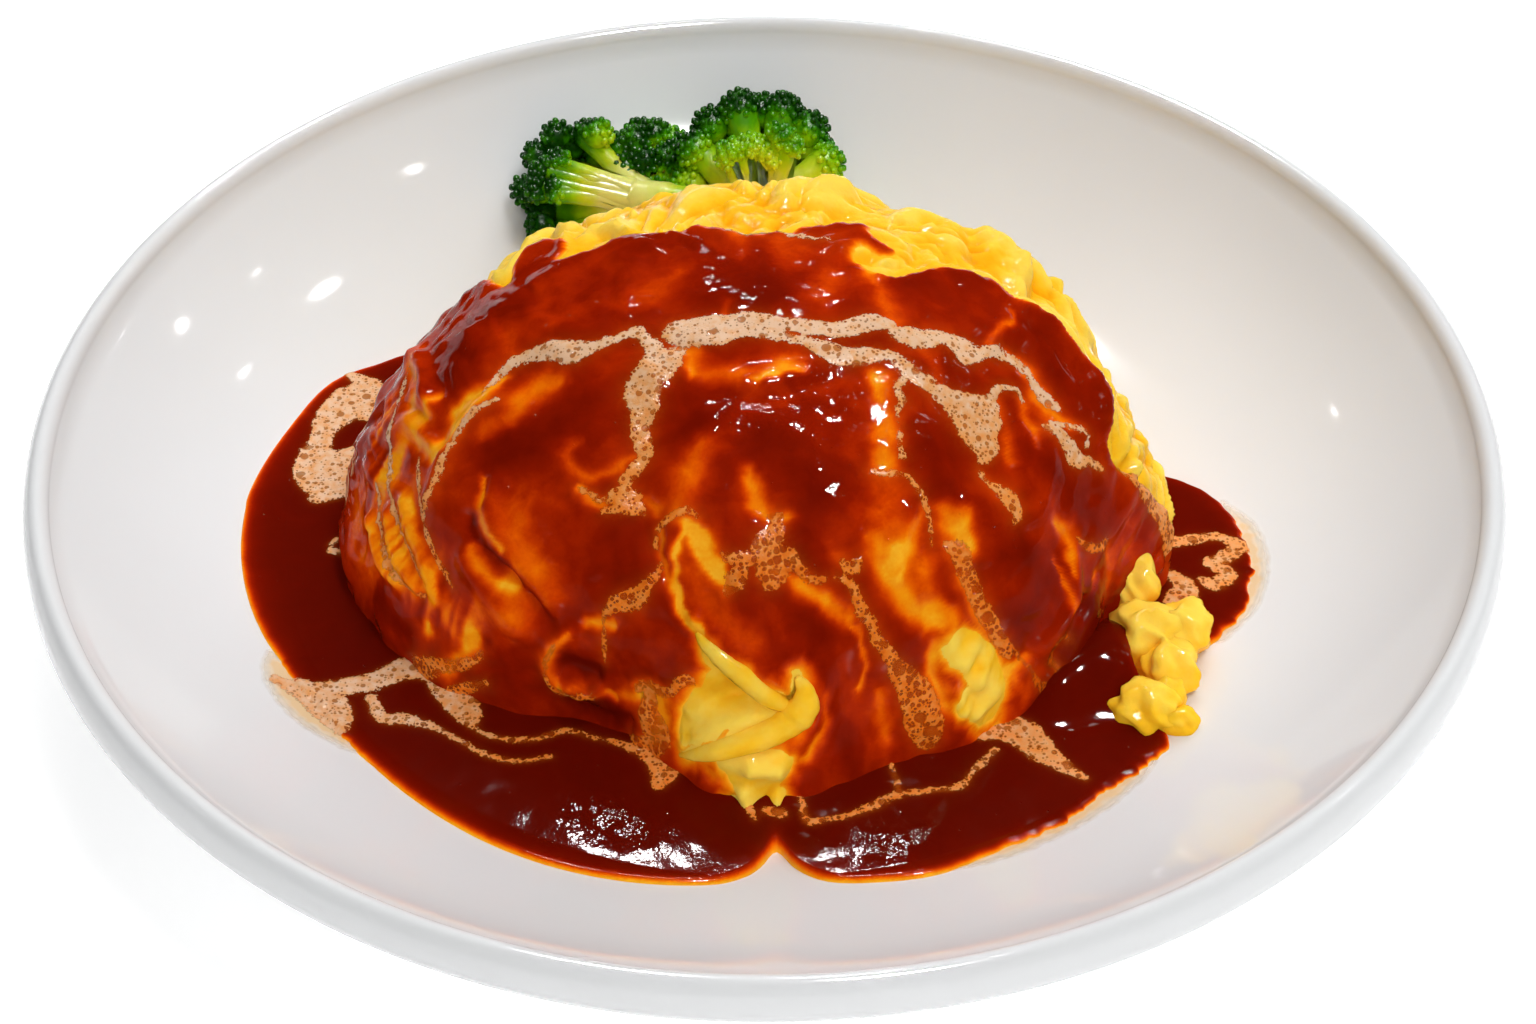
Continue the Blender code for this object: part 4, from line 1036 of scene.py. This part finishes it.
class BuildPlate(bpy.types.Operator):
    """Turn the plate and glaze it"""

    bl_idname = "omurice.build_plate"
    bl_label = "Plate"

    def execute(self, context):
        bm = bmesh.new()
        radii = np.linspace(0.010, PLATE_RADIUS - LIP_WIDTH, 44)
        crest = PLATE_RADIUS - LIP_CREST_INSET
        inset = LIP_WIDTH - LIP_CREST_INSET
        section = [(0.0, WELL_FLOOR)] + [(radius, float(well_top(radius))) for radius in radii]
        for turn in np.radians(np.linspace(165, 90, 7)):
            section.append((crest + inset * math.cos(turn), PLATE_HEIGHT - LIP_RISE * (1 - math.sin(turn))))
        for turn in np.radians(np.linspace(78, 0, 8)):
            section.append((crest + LIP_CREST_INSET * math.cos(turn), PLATE_HEIGHT - LIP_DROP * (1 - math.sin(turn))))
        section += [(PLATE_RADIUS - 0.0005, PLATE_HEIGHT - LIP_DROP - 0.0011)]
        section += [(PLATE_RADIUS - 0.0022, PLATE_HEIGHT - LIP_DROP - 0.0026)]
        for radius in np.linspace(PLATE_RADIUS - 0.0080, BELLY_RADIUS, 18):
            section.append((radius, float(well_top(radius)) - WALL))
        section += [
            (FOOT_OUTER_RADIUS + 0.0030, 0.0034),
            (FOOT_OUTER_RADIUS + 0.0006, 0.0018),
            (FOOT_OUTER_RADIUS, 0.0004),
            (FOOT_OUTER_RADIUS - 0.0005, 0.0),
            (FOOT_INNER_RADIUS + 0.0005, 0.0),
            (FOOT_INNER_RADIUS, 0.0005),
            (FOOT_INNER_RADIUS - 0.0012, FOOT_HEIGHT - 0.0004),
            (FOOT_INNER_RADIUS - 0.0030, FOOT_HEIGHT),
            (0.0, FOOT_HEIGHT),
        ]
        verts = [bm.verts.new((radius, 0.0, height)) for radius, height in section]
        edges = [bm.edges.new(pair) for pair in zip(verts, verts[1:])]
        bmesh.ops.spin(
            bm, geom=verts + edges, axis=(0, 0, 1), cent=(0, 0, 0), steps=settings().plate.turns,
            angle=math.tau, use_merge=True,
        )
        bmesh.ops.remove_doubles(bm, verts=bm.verts, dist=1e-6)
        bmesh.ops.recalc_face_normals(bm, faces=bm.faces)
        finish_piece(bm, "plate_dish", ("plate",), self.glaze())
        return {"FINISHED"}

    def glaze(self):
        look, tree, shader = new_material("white_glaze")
        cloudy = object_noise(tree, 14, 3)
        tint = (*settings().plate.tint, 1.0)
        paler = tuple(min(1.0, value * 1.04) for value in tint)
        tree.links.new(ramp_of(tree, cloudy, ((0.3, tint), (0.7, paler))), shader.inputs["Base Color"])
        bump = add_node(tree, "ShaderNodeBump", {"Height": object_noise(tree, 60, 1), "Strength": 0.06, "Distance": 0.001})
        tree.links.new(bump.outputs["Normal"], shader.inputs["Normal"])
        shader.inputs["Roughness"].default_value = 0.07
        shader.inputs["Specular IOR Level"].default_value = 0.32
        return look


class BuildEgg(bpy.types.Operator):
    """Lay the soft omelette over the mound"""

    bl_idname = "omurice.build_egg"
    bl_label = "Omelette"

    def execute(self, context):
        bm = flat_grid(settings().egg.cells)
        right, back = disc_of(coordinates(bm))
        height, _, shade_by_lumps = egg_and_depth(right, back)
        points = mound_skin(right, back) + mound_outward(right, back) * (height * MILLIMETRE)[:, None]
        place_vertices(bm, points)
        close_below(bm)
        bmesh.ops.recalc_face_normals(bm, faces=bm.faces)
        # The relief attribute carries the egg's painted shade in its creases and hollows.
        finish_piece(bm, "omelette_egg", ("omelette",), egg_look(), {"relief": shade_by_lumps})
        return {"FINISHED"}


class BuildFoldLips(bpy.types.Operator):
    """Roll the lips of the torn fold at the front"""

    bl_idname = "omurice.build_fold_lips"
    bl_label = "Fold lips"

    def execute(self, context):
        parts = []
        for row in FOLD_LIPS:
            right, back, radius = np.array(row, float).T
            height = egg_and_depth(right, back)[0]
            out = mound_outward(right, back)
            points = mound_skin(right, back) + out * ((height + 0.1 * radius) * MILLIMETRE)[:, None]
            parts.append(tube(np.column_stack((points, radius * MILLIMETRE)), sides=24, cuts=9, rough=0.10, seed=len(parts)))
        bm = join(parts)
        points = coordinates(bm) / MILLIMETRE
        relief = 0.5 + 1.2 * wander(points[:, 0], points[:, 1] + points[:, 2], 5.0, 44, 2)
        finish_piece(bm, "omelette_fold_lips", ("omelette",), egg_look(), {"relief": relief})
        return {"FINISHED"}


class BuildCurds(bpy.types.Operator):
    """Drop the curds that slid off onto the plate"""

    bl_idname = "omurice.build_curds"
    bl_label = "Curds"

    def execute(self, context):
        parts = []
        for number, (middle, halves, turn) in enumerate(CURD_LUMPS):
            bm = bmesh.new()
            bmesh.ops.create_uvsphere(bm, u_segments=48, v_segments=32, radius=1.0)
            out = coordinates(bm)
            swell = 1.06 + 0.18 * wander(out[:, 0] + number * 3, out[:, 1] + out[:, 2], 0.9, number)
            swell -= 0.50 * np.abs(wander(out[:, 0] * 1.2 + out[:, 2], out[:, 1] * 1.2, 0.9, number + 9))
            swell += 0.10 * wander(out[:, 0] - out[:, 2], out[:, 1] + out[:, 2], 0.55, number + 17)
            angle = math.radians(turn)
            spin = np.array(((math.cos(angle), -math.sin(angle), 0), (math.sin(angle), math.cos(angle), 0), (0, 0, 1)))
            place_vertices(bm, (out * swell[:, None] * halves) @ spin.T + middle)
            parts.append(bm)
        bm = join(parts)
        points = coordinates(bm)
        # Painted light and shade: each curd is paler towards its top and deeper orange low down.
        relief = np.clip((points[:, 2] - 0.0160) * 330, -0.6, 1.8)
        finish_piece(bm, "egg_curds", ("omelette",), egg_look(), {"relief": relief})
        return {"FINISHED"}


class BuildCoat(bpy.types.Operator):
    """Pour the coat of sauce over the omelette"""

    bl_idname = "omurice.build_coat"
    bl_label = "Coat of sauce"

    def execute(self, context):
        bm = flat_grid(settings().sauce.cells)
        right, back = disc_of(coordinates(bm))
        height, depth, _ = egg_and_depth(right, back)
        points = mound_skin(right, back) + mound_outward(right, back) * ((height + depth) * MILLIMETRE)[:, None]
        place_vertices(bm, points)
        froth = np.exp(-np.maximum(lines_gap(right, back, CREAM_ON_COAT), 0.0) / 2.0)
        pebbles = sum(glow(right, back, line) for line in PEBBLED_COAT)
        keep = {"depth": depth / 4, "froth": froth, "pebbles": np.clip(0.22 + pebbles, 0, 1)}
        close_below(bm)
        bmesh.ops.recalc_face_normals(bm, faces=bm.faces)
        finish_piece(bm, "sauce_coat", ("sauce",), sauce_look(), keep)
        return {"FINISHED"}


def raggedness(degrees):
    """How ragged the pool's edge is, from 0 to 1."""
    return np.minimum(sum(near(degrees, way, width) for way, width in RAGGED_EDGE), 1.0)


def pool_edge(degrees):
    """Distance of the pool's edge from its middle."""
    curve = smooth_line(POOL_OUTLINE, cuts=4)
    rough = raggedness(degrees)
    teeth = wander(degrees * 1.5, 0 * degrees, 1.6, 71, 2) + 0.6 * wander(degrees * 1.5, 0 * degrees, 5.0, 72)
    return (np.interp(degrees, curve[:, 0], curve[:, 1]) + 0.9 * rough * (teeth - 0.4)) * MILLIMETRE


def foot_edge(degrees):
    """Distance of the mound's foot from the pool's middle."""
    turns = np.radians(np.arange(0, 360, 1.0))
    foot = mound_skin(STEPS * np.cos(turns), STEPS * np.sin(turns))
    x, y = foot[:, 0] - POOL_X, foot[:, 1] - POOL_Y
    around = np.degrees(np.arctan2(y, x))
    return np.interp(degrees, around, np.hypot(x, y), period=360)


def pool_top(x, y):
    """Height of the plate, or of the sauce where the pool lies on it."""
    degrees = np.degrees(np.arctan2(y - POOL_Y, x - POOL_X))
    away = np.hypot(x - POOL_X, y - POOL_Y)
    left = pool_edge(degrees) - away
    floor = well_top(np.hypot(x, y))
    rounding = np.sqrt(1 - (1 - np.clip(left / POOL_ROUNDING, 0, 1)) ** 2)
    climb = 0.0004 * np.exp(-np.maximum(away - foot_edge(degrees), 0) / 0.0025)
    heap = sum(rise * np.exp(-((x - hx) ** 2 + (y - hy) ** 2) / size**2) for hx, hy, rise, size in HEAPS)
    level = POOL_LEVEL - POOL_SLOPE * np.maximum(away - foot_edge(degrees), 0)
    top = floor + (np.maximum(level - floor, POOL_EDGE) + heap) * rounding
    return np.where(left > 0, top + climb * rounding, floor)


class BuildPool(bpy.types.Operator):
    """Let the sauce run out into its pool"""

    bl_idname = "omurice.build_pool"
    bl_label = "Pool of sauce"

    def execute(self, context):
        rings = 56
        bm = bmesh.new()
        verts = [bm.verts.new((10.0 + ring, 0.0, 0.0)) for ring in range(rings + 1)]
        verts += [bm.verts.new((10.0 + rings, 0.0, -1.0)), bm.verts.new((10.0, 0.0, -1.0))]
        edges = [bm.edges.new(pair) for pair in zip(verts, verts[1:] + verts[:1])]
        bmesh.ops.spin(
            bm, geom=verts + edges, axis=(0, 0, 1), cent=(0, 0, 0), steps=settings().sauce.pool_steps,
            angle=math.tau, use_merge=True,
        )
        bmesh.ops.remove_doubles(bm, verts=bm.verts, dist=1e-4)
        flat = coordinates(bm)
        turn = np.arctan2(flat[:, 1], flat[:, 0])
        degrees = np.degrees(turn)
        share = (np.hypot(flat[:, 0], flat[:, 1]) - 10.0) / rings
        share = 1 - (1 - share) ** 1.5
        inner = foot_edge(degrees) - 0.003
        outer = np.maximum(pool_edge(degrees), inner + 0.0005)
        away = inner + (outer - inner) * share
        x, y = POOL_X + away * np.cos(turn), POOL_Y + away * np.sin(turn)
        ripple = 0.00005 * wander(x, y, 0.006, 41, 2)
        left = (outer - away) / MILLIMETRE
        z = pool_top(x, y) + ripple * np.clip(left / 3, 0, 1)
        below = flat[:, 2] < -0.5
        z = np.where(below, well_top(np.hypot(x, y)) - 0.0003, np.maximum(z, well_top(np.hypot(x, y)) - 0.0001))
        place_vertices(bm, np.column_stack((x, y, z)))
        bmesh.ops.recalc_face_normals(bm, faces=bm.faces)
        mm_x, mm_y = x / MILLIMETRE, y / MILLIMETRE
        froth = np.exp(-np.maximum(lines_gap(mm_x, mm_y, CREAM_ON_POOL), 0.0) / 0.8)
        pebbles = sum(glow(mm_x, mm_y, line) for line in PEBBLED_POOL)
        depth = 3.3 * (1 - np.exp(-np.maximum(left, 0) / (1.7 - 1.1 * raggedness(degrees))))
        keep = {"depth": depth / 4, "froth": froth, "pebbles": np.clip(0.08 + pebbles, 0, 1)}
        finish_piece(bm, "sauce_pool", ("sauce",), sauce_look(), keep)
        return {"FINISHED"}


class BuildCream(bpy.types.Operator):
    """Trail the frothy cream over the coat, the pool and the plate"""

    bl_idname = "omurice.build_cream"
    bl_label = "Cream"

    def execute(self, context):
        cell = settings().cream.cell
        bm, kept = cream_sheet(CREAM_ON_COAT, ((-92, 92), (-96, 30)), cell, self.on_coat, seed=1)
        warmth = np.clip((-kept[:, 1] - 13) / 55, 0.0, 0.7) + 0.4 * np.clip((kept[:, 0] - 56) / 8, 0.0, 1.0)
        finish_piece(bm, "cream_on_coat", ("sauce",), cream_look(), {"warmth": warmth, "inside": kept[:, 3]})
        bm, kept = cream_sheet(CREAM_ON_POOL, ((-84, 84), (-82, 40)), cell, self.on_pool, seed=2)
        warmth = 0.1 + 0.4 * np.clip((kept[:, 0] + 52) / 14, 0.0, 1.0) - 0.2 * np.clip((kept[:, 0] - 22) / 10, 0.0, 1.0)
        finish_piece(bm, "cream_on_pool", ("sauce",), cream_look(), {"warmth": warmth, "inside": kept[:, 3]})
        bm, kept = cream_sheet(CREAM_ON_PLATE, ((-86, 86), (-84, 10)), cell, self.on_plate, seed=3, thick=0.06, ragged=0.3)
        finish_piece(bm, "cream_on_plate", ("sauce",), self.film(), {"inside": kept[:, 3]})
        return {"FINISHED"}

    def on_coat(self, right, back, lift):
        height, depth, _ = egg_and_depth(right, back)
        return mound_skin(right, back) + mound_outward(right, back) * ((height + depth + lift) * MILLIMETRE)[:, None]

    def on_pool(self, right, back, lift):
        x, y = right * MILLIMETRE, back * MILLIMETRE
        return np.column_stack((x, y, pool_top(x, y) + (lift + 0.05) * MILLIMETRE))

    def on_plate(self, right, back, lift):
        x, y = right * MILLIMETRE, back * MILLIMETRE
        return np.column_stack((x, y, well_top(np.hypot(x, y)) + (0.05 + 0.4 * lift) * MILLIMETRE))

    def film(self):
        look, tree, shader = new_material("cream_film")
        inside = attribute_of(tree, "inside")
        cloudy = patches(tree, 420, 4, 1.4)
        milky = maths(tree, "ADD", maths(tree, "MULTIPLY", inside, 0.45), cloudy)
        tint = ramp_of(tree, milky, (
            (0.0, colour(236, 214, 184)), (0.3, colour(238, 220, 192)), (0.6, colour(240, 224, 200)), (1.0, colour(240, 208, 160)),
        ))
        tree.links.new(tint, shader.inputs["Base Color"])
        soft = maths(tree, "MULTIPLY", maths(tree, "MULTIPLY", inside, 0.55, clamp=True), 0.85)
        tree.links.new(soft, shader.inputs["Alpha"])
        bump = add_node(tree, "ShaderNodeBump", {"Height": object_noise(tree, 700, 2), "Strength": 0.2, "Distance": 0.0003})
        tree.links.new(bump.outputs["Normal"], shader.inputs["Normal"])
        shader.inputs["Roughness"].default_value = 0.2
        shader.inputs["Specular IOR Level"].default_value = 0.35
        return look


class BuildFlorets(bpy.types.Operator):
    """Grow the three florets of broccoli"""

    bl_idname = "omurice.build_florets"
    bl_label = "Florets"

    def execute(self, context):
        stalk, bud = self.stalk(), self.bud()
        plans = {
            "broccoli_left": (34, 1, 0.10, 1.10, Vector((0.0010, -0.0008, -0.0010))),
            "broccoli_middle": (20, 2, 0.60, 1.34, Vector((-0.0010, -0.0016, -0.0018))),
            "broccoli_right": (52, 3, 0.05, 1.00, Vector((-0.0008, -0.0010, -0.0018))),
        }
        for name, (base, middle, radius, thick) in FLORETS.items():
            tips, seed, open_front, swell, shift = plans[name]
            base, middle = Vector(base) + shift * 0.5, Vector(middle) + shift
            self.grow(name, base, middle, radius * swell, thick, tips, seed, open_front, stalk, bud)
        return {"FINISHED"}

    def grow(self, name, base, middle, radius, thick, tips, seed, open_front, stalk, bud):
        grown = (middle - base).normalized()
        front = Vector((0, -0.75, 0.66))
        front = (front - grown * front.dot(grown)).normalized()
        side = grown.cross(front)
        fork = base.lerp(middle, 0.45)
        puff = radius * (0.23 if tips > 20 else 0.32)
        bead = settings().florets.bead
        stalks, buds = [], []
        stalks.append(self.branch(base - grown * 0.004, base.lerp(fork, 0.5), fork, thick, thick * 1.02, thick * 0.8, seed))
        ends = []
        for number in range(tips):
            polar = math.acos(1 - (number + 0.5) / tips * 1.25)
            around = number * 2.39996 + seed
            way = grown * math.cos(polar) + (side * math.cos(around) + front * math.sin(around)) * math.sin(polar)
            if way.dot(front) > open_front:
                continue
            reach = radius * (0.84 + 0.10 * noise.noise((number * 1.7, seed, 0)))
            ends.append((middle + way * reach - grown * radius * 0.12, way, puff))
        for number in range(tips // 2):
            lean = math.radians(-62 + 124 * ((number * 0.618 + 0.3 * seed) % 1.0))
            way = (grown * math.cos(lean) + side * math.sin(lean) + front * 0.45).normalized()
            out = way * (0.25 + 0.36 * ((number * 0.37) % 1.0)) + front * 0.38 - grown * 0.14
            ends.append((middle + out * radius, way, puff * 0.55))
        for number, (end, way, size) in enumerate(ends):
            start = base.lerp(fork, 0.6 + 0.4 * ((number * 0.618) % 1.0)) + way * thick * 0.4
            bend = start.lerp(end, 0.55) - way * radius * 0.05 + grown * radius * 0.10
            if number % 3 == 0:
                stalks.append(self.branch(start, bend, end, thick * 0.52, thick * 0.34, size * 0.9, number + seed * 20))
            lobe = bmesh.new()
            bmesh.ops.create_uvsphere(lobe, u_segments=16, v_segments=10, radius=size * 0.93)
            bmesh.ops.translate(lobe, verts=lobe.verts, vec=end)
            buds.append(lobe)
            beads = bmesh.new()
            count = int(17 * (size / bead) ** 2 / 9)
            across = way.orthogonal().normalized()
            for step in range(count):
                height = 1 - (step + 0.5) / count * 1.45
                ring = math.sqrt(max(0.0, 1 - height * height))
                turn = step * 2.39996 + number
                spot = way * height + across * ring * math.cos(turn) + way.cross(across) * ring * math.sin(turn)
                wobble = noise.noise(spot * 9 + Vector((number, seed, 0)))
                made = bmesh.ops.create_uvsphere(beads, u_segments=6, v_segments=5, radius=bead * (0.92 + 0.35 * wobble))
                bmesh.ops.translate(beads, verts=made["verts"], vec=end + spot * size * (1 + 0.08 * wobble))
            buds.append(beads)
        for kind, parts, look, tone in (("_stalks", stalks, stalk, (1.75, 1.5)), ("_buds", buds, bud, (2.6, 1.95))):
            bm = join(parts)
            points = coordinates(bm)
            inward = np.linalg.norm(points - np.array(fork), axis=1) / radius
            finish_piece(bm, name + kind, (name,), look, {"young": np.clip(tone[0] - tone[1] * inward, 0, 1)})

    def branch(self, start, bend, end, first, second, third, seed):
        rows = []
        for share in (0.0, 0.25, 0.5, 0.75, 1.0):
            point = start.lerp(bend, share).lerp(bend.lerp(end, share), share)
            width = (first * (1 - share) + second * share) * (1 - share) + (second * (1 - share) + third * share) * share
            rows.append((*point, width))
        return tube(rows, sides=14, cuts=4, rough=0.12, seed=seed)

    def stalk(self):
        look, tree, shader = new_material("floret_stalk")
        cloudy = patches(tree, 320, 3, 0.7)
        tint = ramp_of(tree, maths(tree, "ADD", attribute_of(tree, "young"), cloudy), (
            (0.0, colour(84, 160, 0)), (0.3, colour(152, 204, 6)), (0.65, colour(200, 218, 36)), (1.0, colour(226, 228, 120)),
        ))
        tree.links.new(tint, shader.inputs["Base Color"])
        height = object_noise(tree, 900, 2, stretch=(1, 0.4, 0.4))
        bump = add_node(tree, "ShaderNodeBump", {"Height": height, "Strength": 0.3, "Distance": 0.0004})
        tree.links.new(bump.outputs["Normal"], shader.inputs["Normal"])
        shader.inputs["Roughness"].default_value = 0.3
        shader.inputs["Specular IOR Level"].default_value = 0.12
        shader.inputs["Subsurface Weight"].default_value = 0.2
        shader.inputs["Subsurface Radius"].default_value = (0.6, 1.0, 0.2)
        shader.inputs["Subsurface Scale"].default_value = 0.002
        return look

    def bud(self):
        look, tree, shader = new_material("floret_buds")
        young = attribute_of(tree, "young")
        cloudy = patches(tree, 350, 3, 0.8)
        tint = ramp_of(tree, maths(tree, "ADD", young, cloudy), (
            (0.0, colour(12, 64, 0)), (0.22, colour(58, 140, 0)), (0.5, colour(136, 196, 2)), (1.0, colour(206, 226, 36)),
        ))
        tree.links.new(tint, shader.inputs["Base Color"])
        bump = add_node(tree, "ShaderNodeBump", {"Height": object_noise(tree, 2500, 2), "Strength": 0.4, "Distance": 0.0003})
        tree.links.new(bump.outputs["Normal"], shader.inputs["Normal"])
        shader.inputs["Roughness"].default_value = 0.3
        shader.inputs["Specular IOR Level"].default_value = 0.08
        return look


class BuildStage(bpy.types.Operator):
    """Set up the pale floor, the soft lights and the camera"""

    bl_idname = "omurice.build_stage"
    bl_label = "Stage"

    def execute(self, context):
        bm = bmesh.new()
        bmesh.ops.create_grid(bm, x_segments=1, y_segments=1, size=3.0)
        mesh = bpy.data.meshes.new("floor")
        bm.to_mesh(mesh)
        bm.free()
        look, tree, shader = new_material("pale_floor")
        shade = ramp_of(tree, object_noise(tree, 3, 1), ((0.3, (0.93, 0.93, 0.93, 1)), (0.7, (0.94, 0.94, 0.94, 1))))
        tree.links.new(shade, shader.inputs["Base Color"])
        shader.inputs["Roughness"].default_value = 0.8
        shader.inputs["Specular IOR Level"].default_value = 0.0
        shader.inputs["Emission Color"].default_value = (1, 1, 1, 1)
        shader.inputs["Emission Strength"].default_value = 0.4
        mesh.materials.append(look)
        floor = bpy.data.objects.new("floor", mesh)
        context.scene.collection.objects.link(floor)
        for name, right, up, size, watts in (
            ("right", 57, 75, 0.12, 3.5), ("glint 1", 54, 53, 0.14, 2.6), ("glint 2", 55, 33, 0.09, 1.2),
            ("glint 3", 93, 56, 0.09, 1.2), ("glint 4", 42, 43, 0.05, 0.5), ("glint 5", 53, 22, 0.07, 0.7),
            ("glint 6", 64, 43, 0.04, 0.3), ("glint 7", -40, 35, 0.04, 0.3),
        ):
            self.light(name, right, up, 3.0, size, watts)
        for name, right, up, size, watts in (
            ("main 1", 118, 80, 0.30, 200.0), ("main 2", 126, 78, 0.32, 220.0), ("main 3", 136, 80, 0.24, 130.0),
            ("back 1", -6, 54, 0.20, 46.0), ("back 2", 2.5, 50.6, 0.14, 22.0),
        ):
            self.light(name, right, up, 3.0, size, watts, diffuse=False)
        self.light("soft main", 128, 70, 3.0, 0.6, 18.5, gloss=False)
        self.light("soft top", 110, 70, 1.1, 1.0, 1.3, gloss=False)
        self.light("soft front", 176, 40, 1.1, 1.0, 5.2, gloss=False)
        self.light("soft back", 8, 40, 1.2, 1.2, 12.0, gloss=False)
        world = bpy.data.worlds.new("studio")
        world.use_nodes = True
        world.node_tree.nodes["Background"].inputs["Color"].default_value = (1, 1, 1, 1)
        world.node_tree.nodes["Background"].inputs["Strength"].default_value = 0.06
        world.cycles_visibility.glossy = False
        context.scene.world = world
        lens = bpy.data.cameras.new("camera")
        lens.sensor_width = 36
        lens.lens = 64.9
        camera = bpy.data.objects.new("camera", lens)
        camera.location = (0.00046, -0.34664, 0.32918)
        camera.rotation_euler = (math.radians(47.684), 0, 0)
        context.scene.collection.objects.link(camera)
        context.scene.camera = camera
        context.scene.view_settings.view_transform = "Standard"
        return {"FINISHED"}

    def light(self, name, right, up, away, size, watts, gloss=True, diffuse=True):
        lamp = bpy.data.lights.new(name, "AREA")
        lamp.shape = "DISK"
        lamp.size = size
        lamp.energy = watts
        made = bpy.data.objects.new(name, lamp)
        made.visible_glossy = gloss
        made.visible_diffuse = diffuse
        turn, rise = math.radians(right), math.radians(up)
        aim = Vector((math.sin(turn) * math.cos(rise), math.cos(turn) * math.cos(rise), math.sin(rise)))
        made.location = Vector((0, 0, 0.03)) + aim * away
        made.rotation_euler = aim.to_track_quat("Z", "Y").to_euler()
        bpy.context.scene.collection.objects.link(made)


class OmuricePanel(bpy.types.Panel):
    """Lists the pieces of the omurice"""

    bl_idname = "OMURICE_PT_pieces"
    bl_label = "Omurice"
    bl_space_type = "VIEW_3D"
    bl_region_type = "UI"
    bl_category = "Omurice"

    def draw(self, context):
        column = self.layout.column()
        for piece in PIECES:
            column.operator(piece.bl_idname)


PIECES = (
    BuildPlate, BuildEgg, BuildFoldLips, BuildCurds, BuildCoat, BuildPool, BuildCream, BuildFlorets, BuildStage,
)
GROUPS = (PlateSettings, EggSettings, SauceSettings, CreamSettings, FloretSettings, OmuriceSettings)


def register():
    for kind in (*GROUPS, *PIECES, OmuricePanel):
        bpy.utils.register_class(kind)
    bpy.types.Scene.omurice = bpy.props.PointerProperty(type=OmuriceSettings)


def unregister():
    del bpy.types.Scene.omurice
    for kind in reversed((*GROUPS, *PIECES, OmuricePanel)):
        bpy.utils.unregister_class(kind)


def main():
    register()
    bpy.ops.omurice.build_plate()
    bpy.ops.omurice.build_egg()
    bpy.ops.omurice.build_fold_lips()
    bpy.ops.omurice.build_curds()
    bpy.ops.omurice.build_coat()
    bpy.ops.omurice.build_pool()
    bpy.ops.omurice.build_cream()
    bpy.ops.omurice.build_florets()
    bpy.ops.omurice.build_stage()


if __name__ == "__main__":
    main()
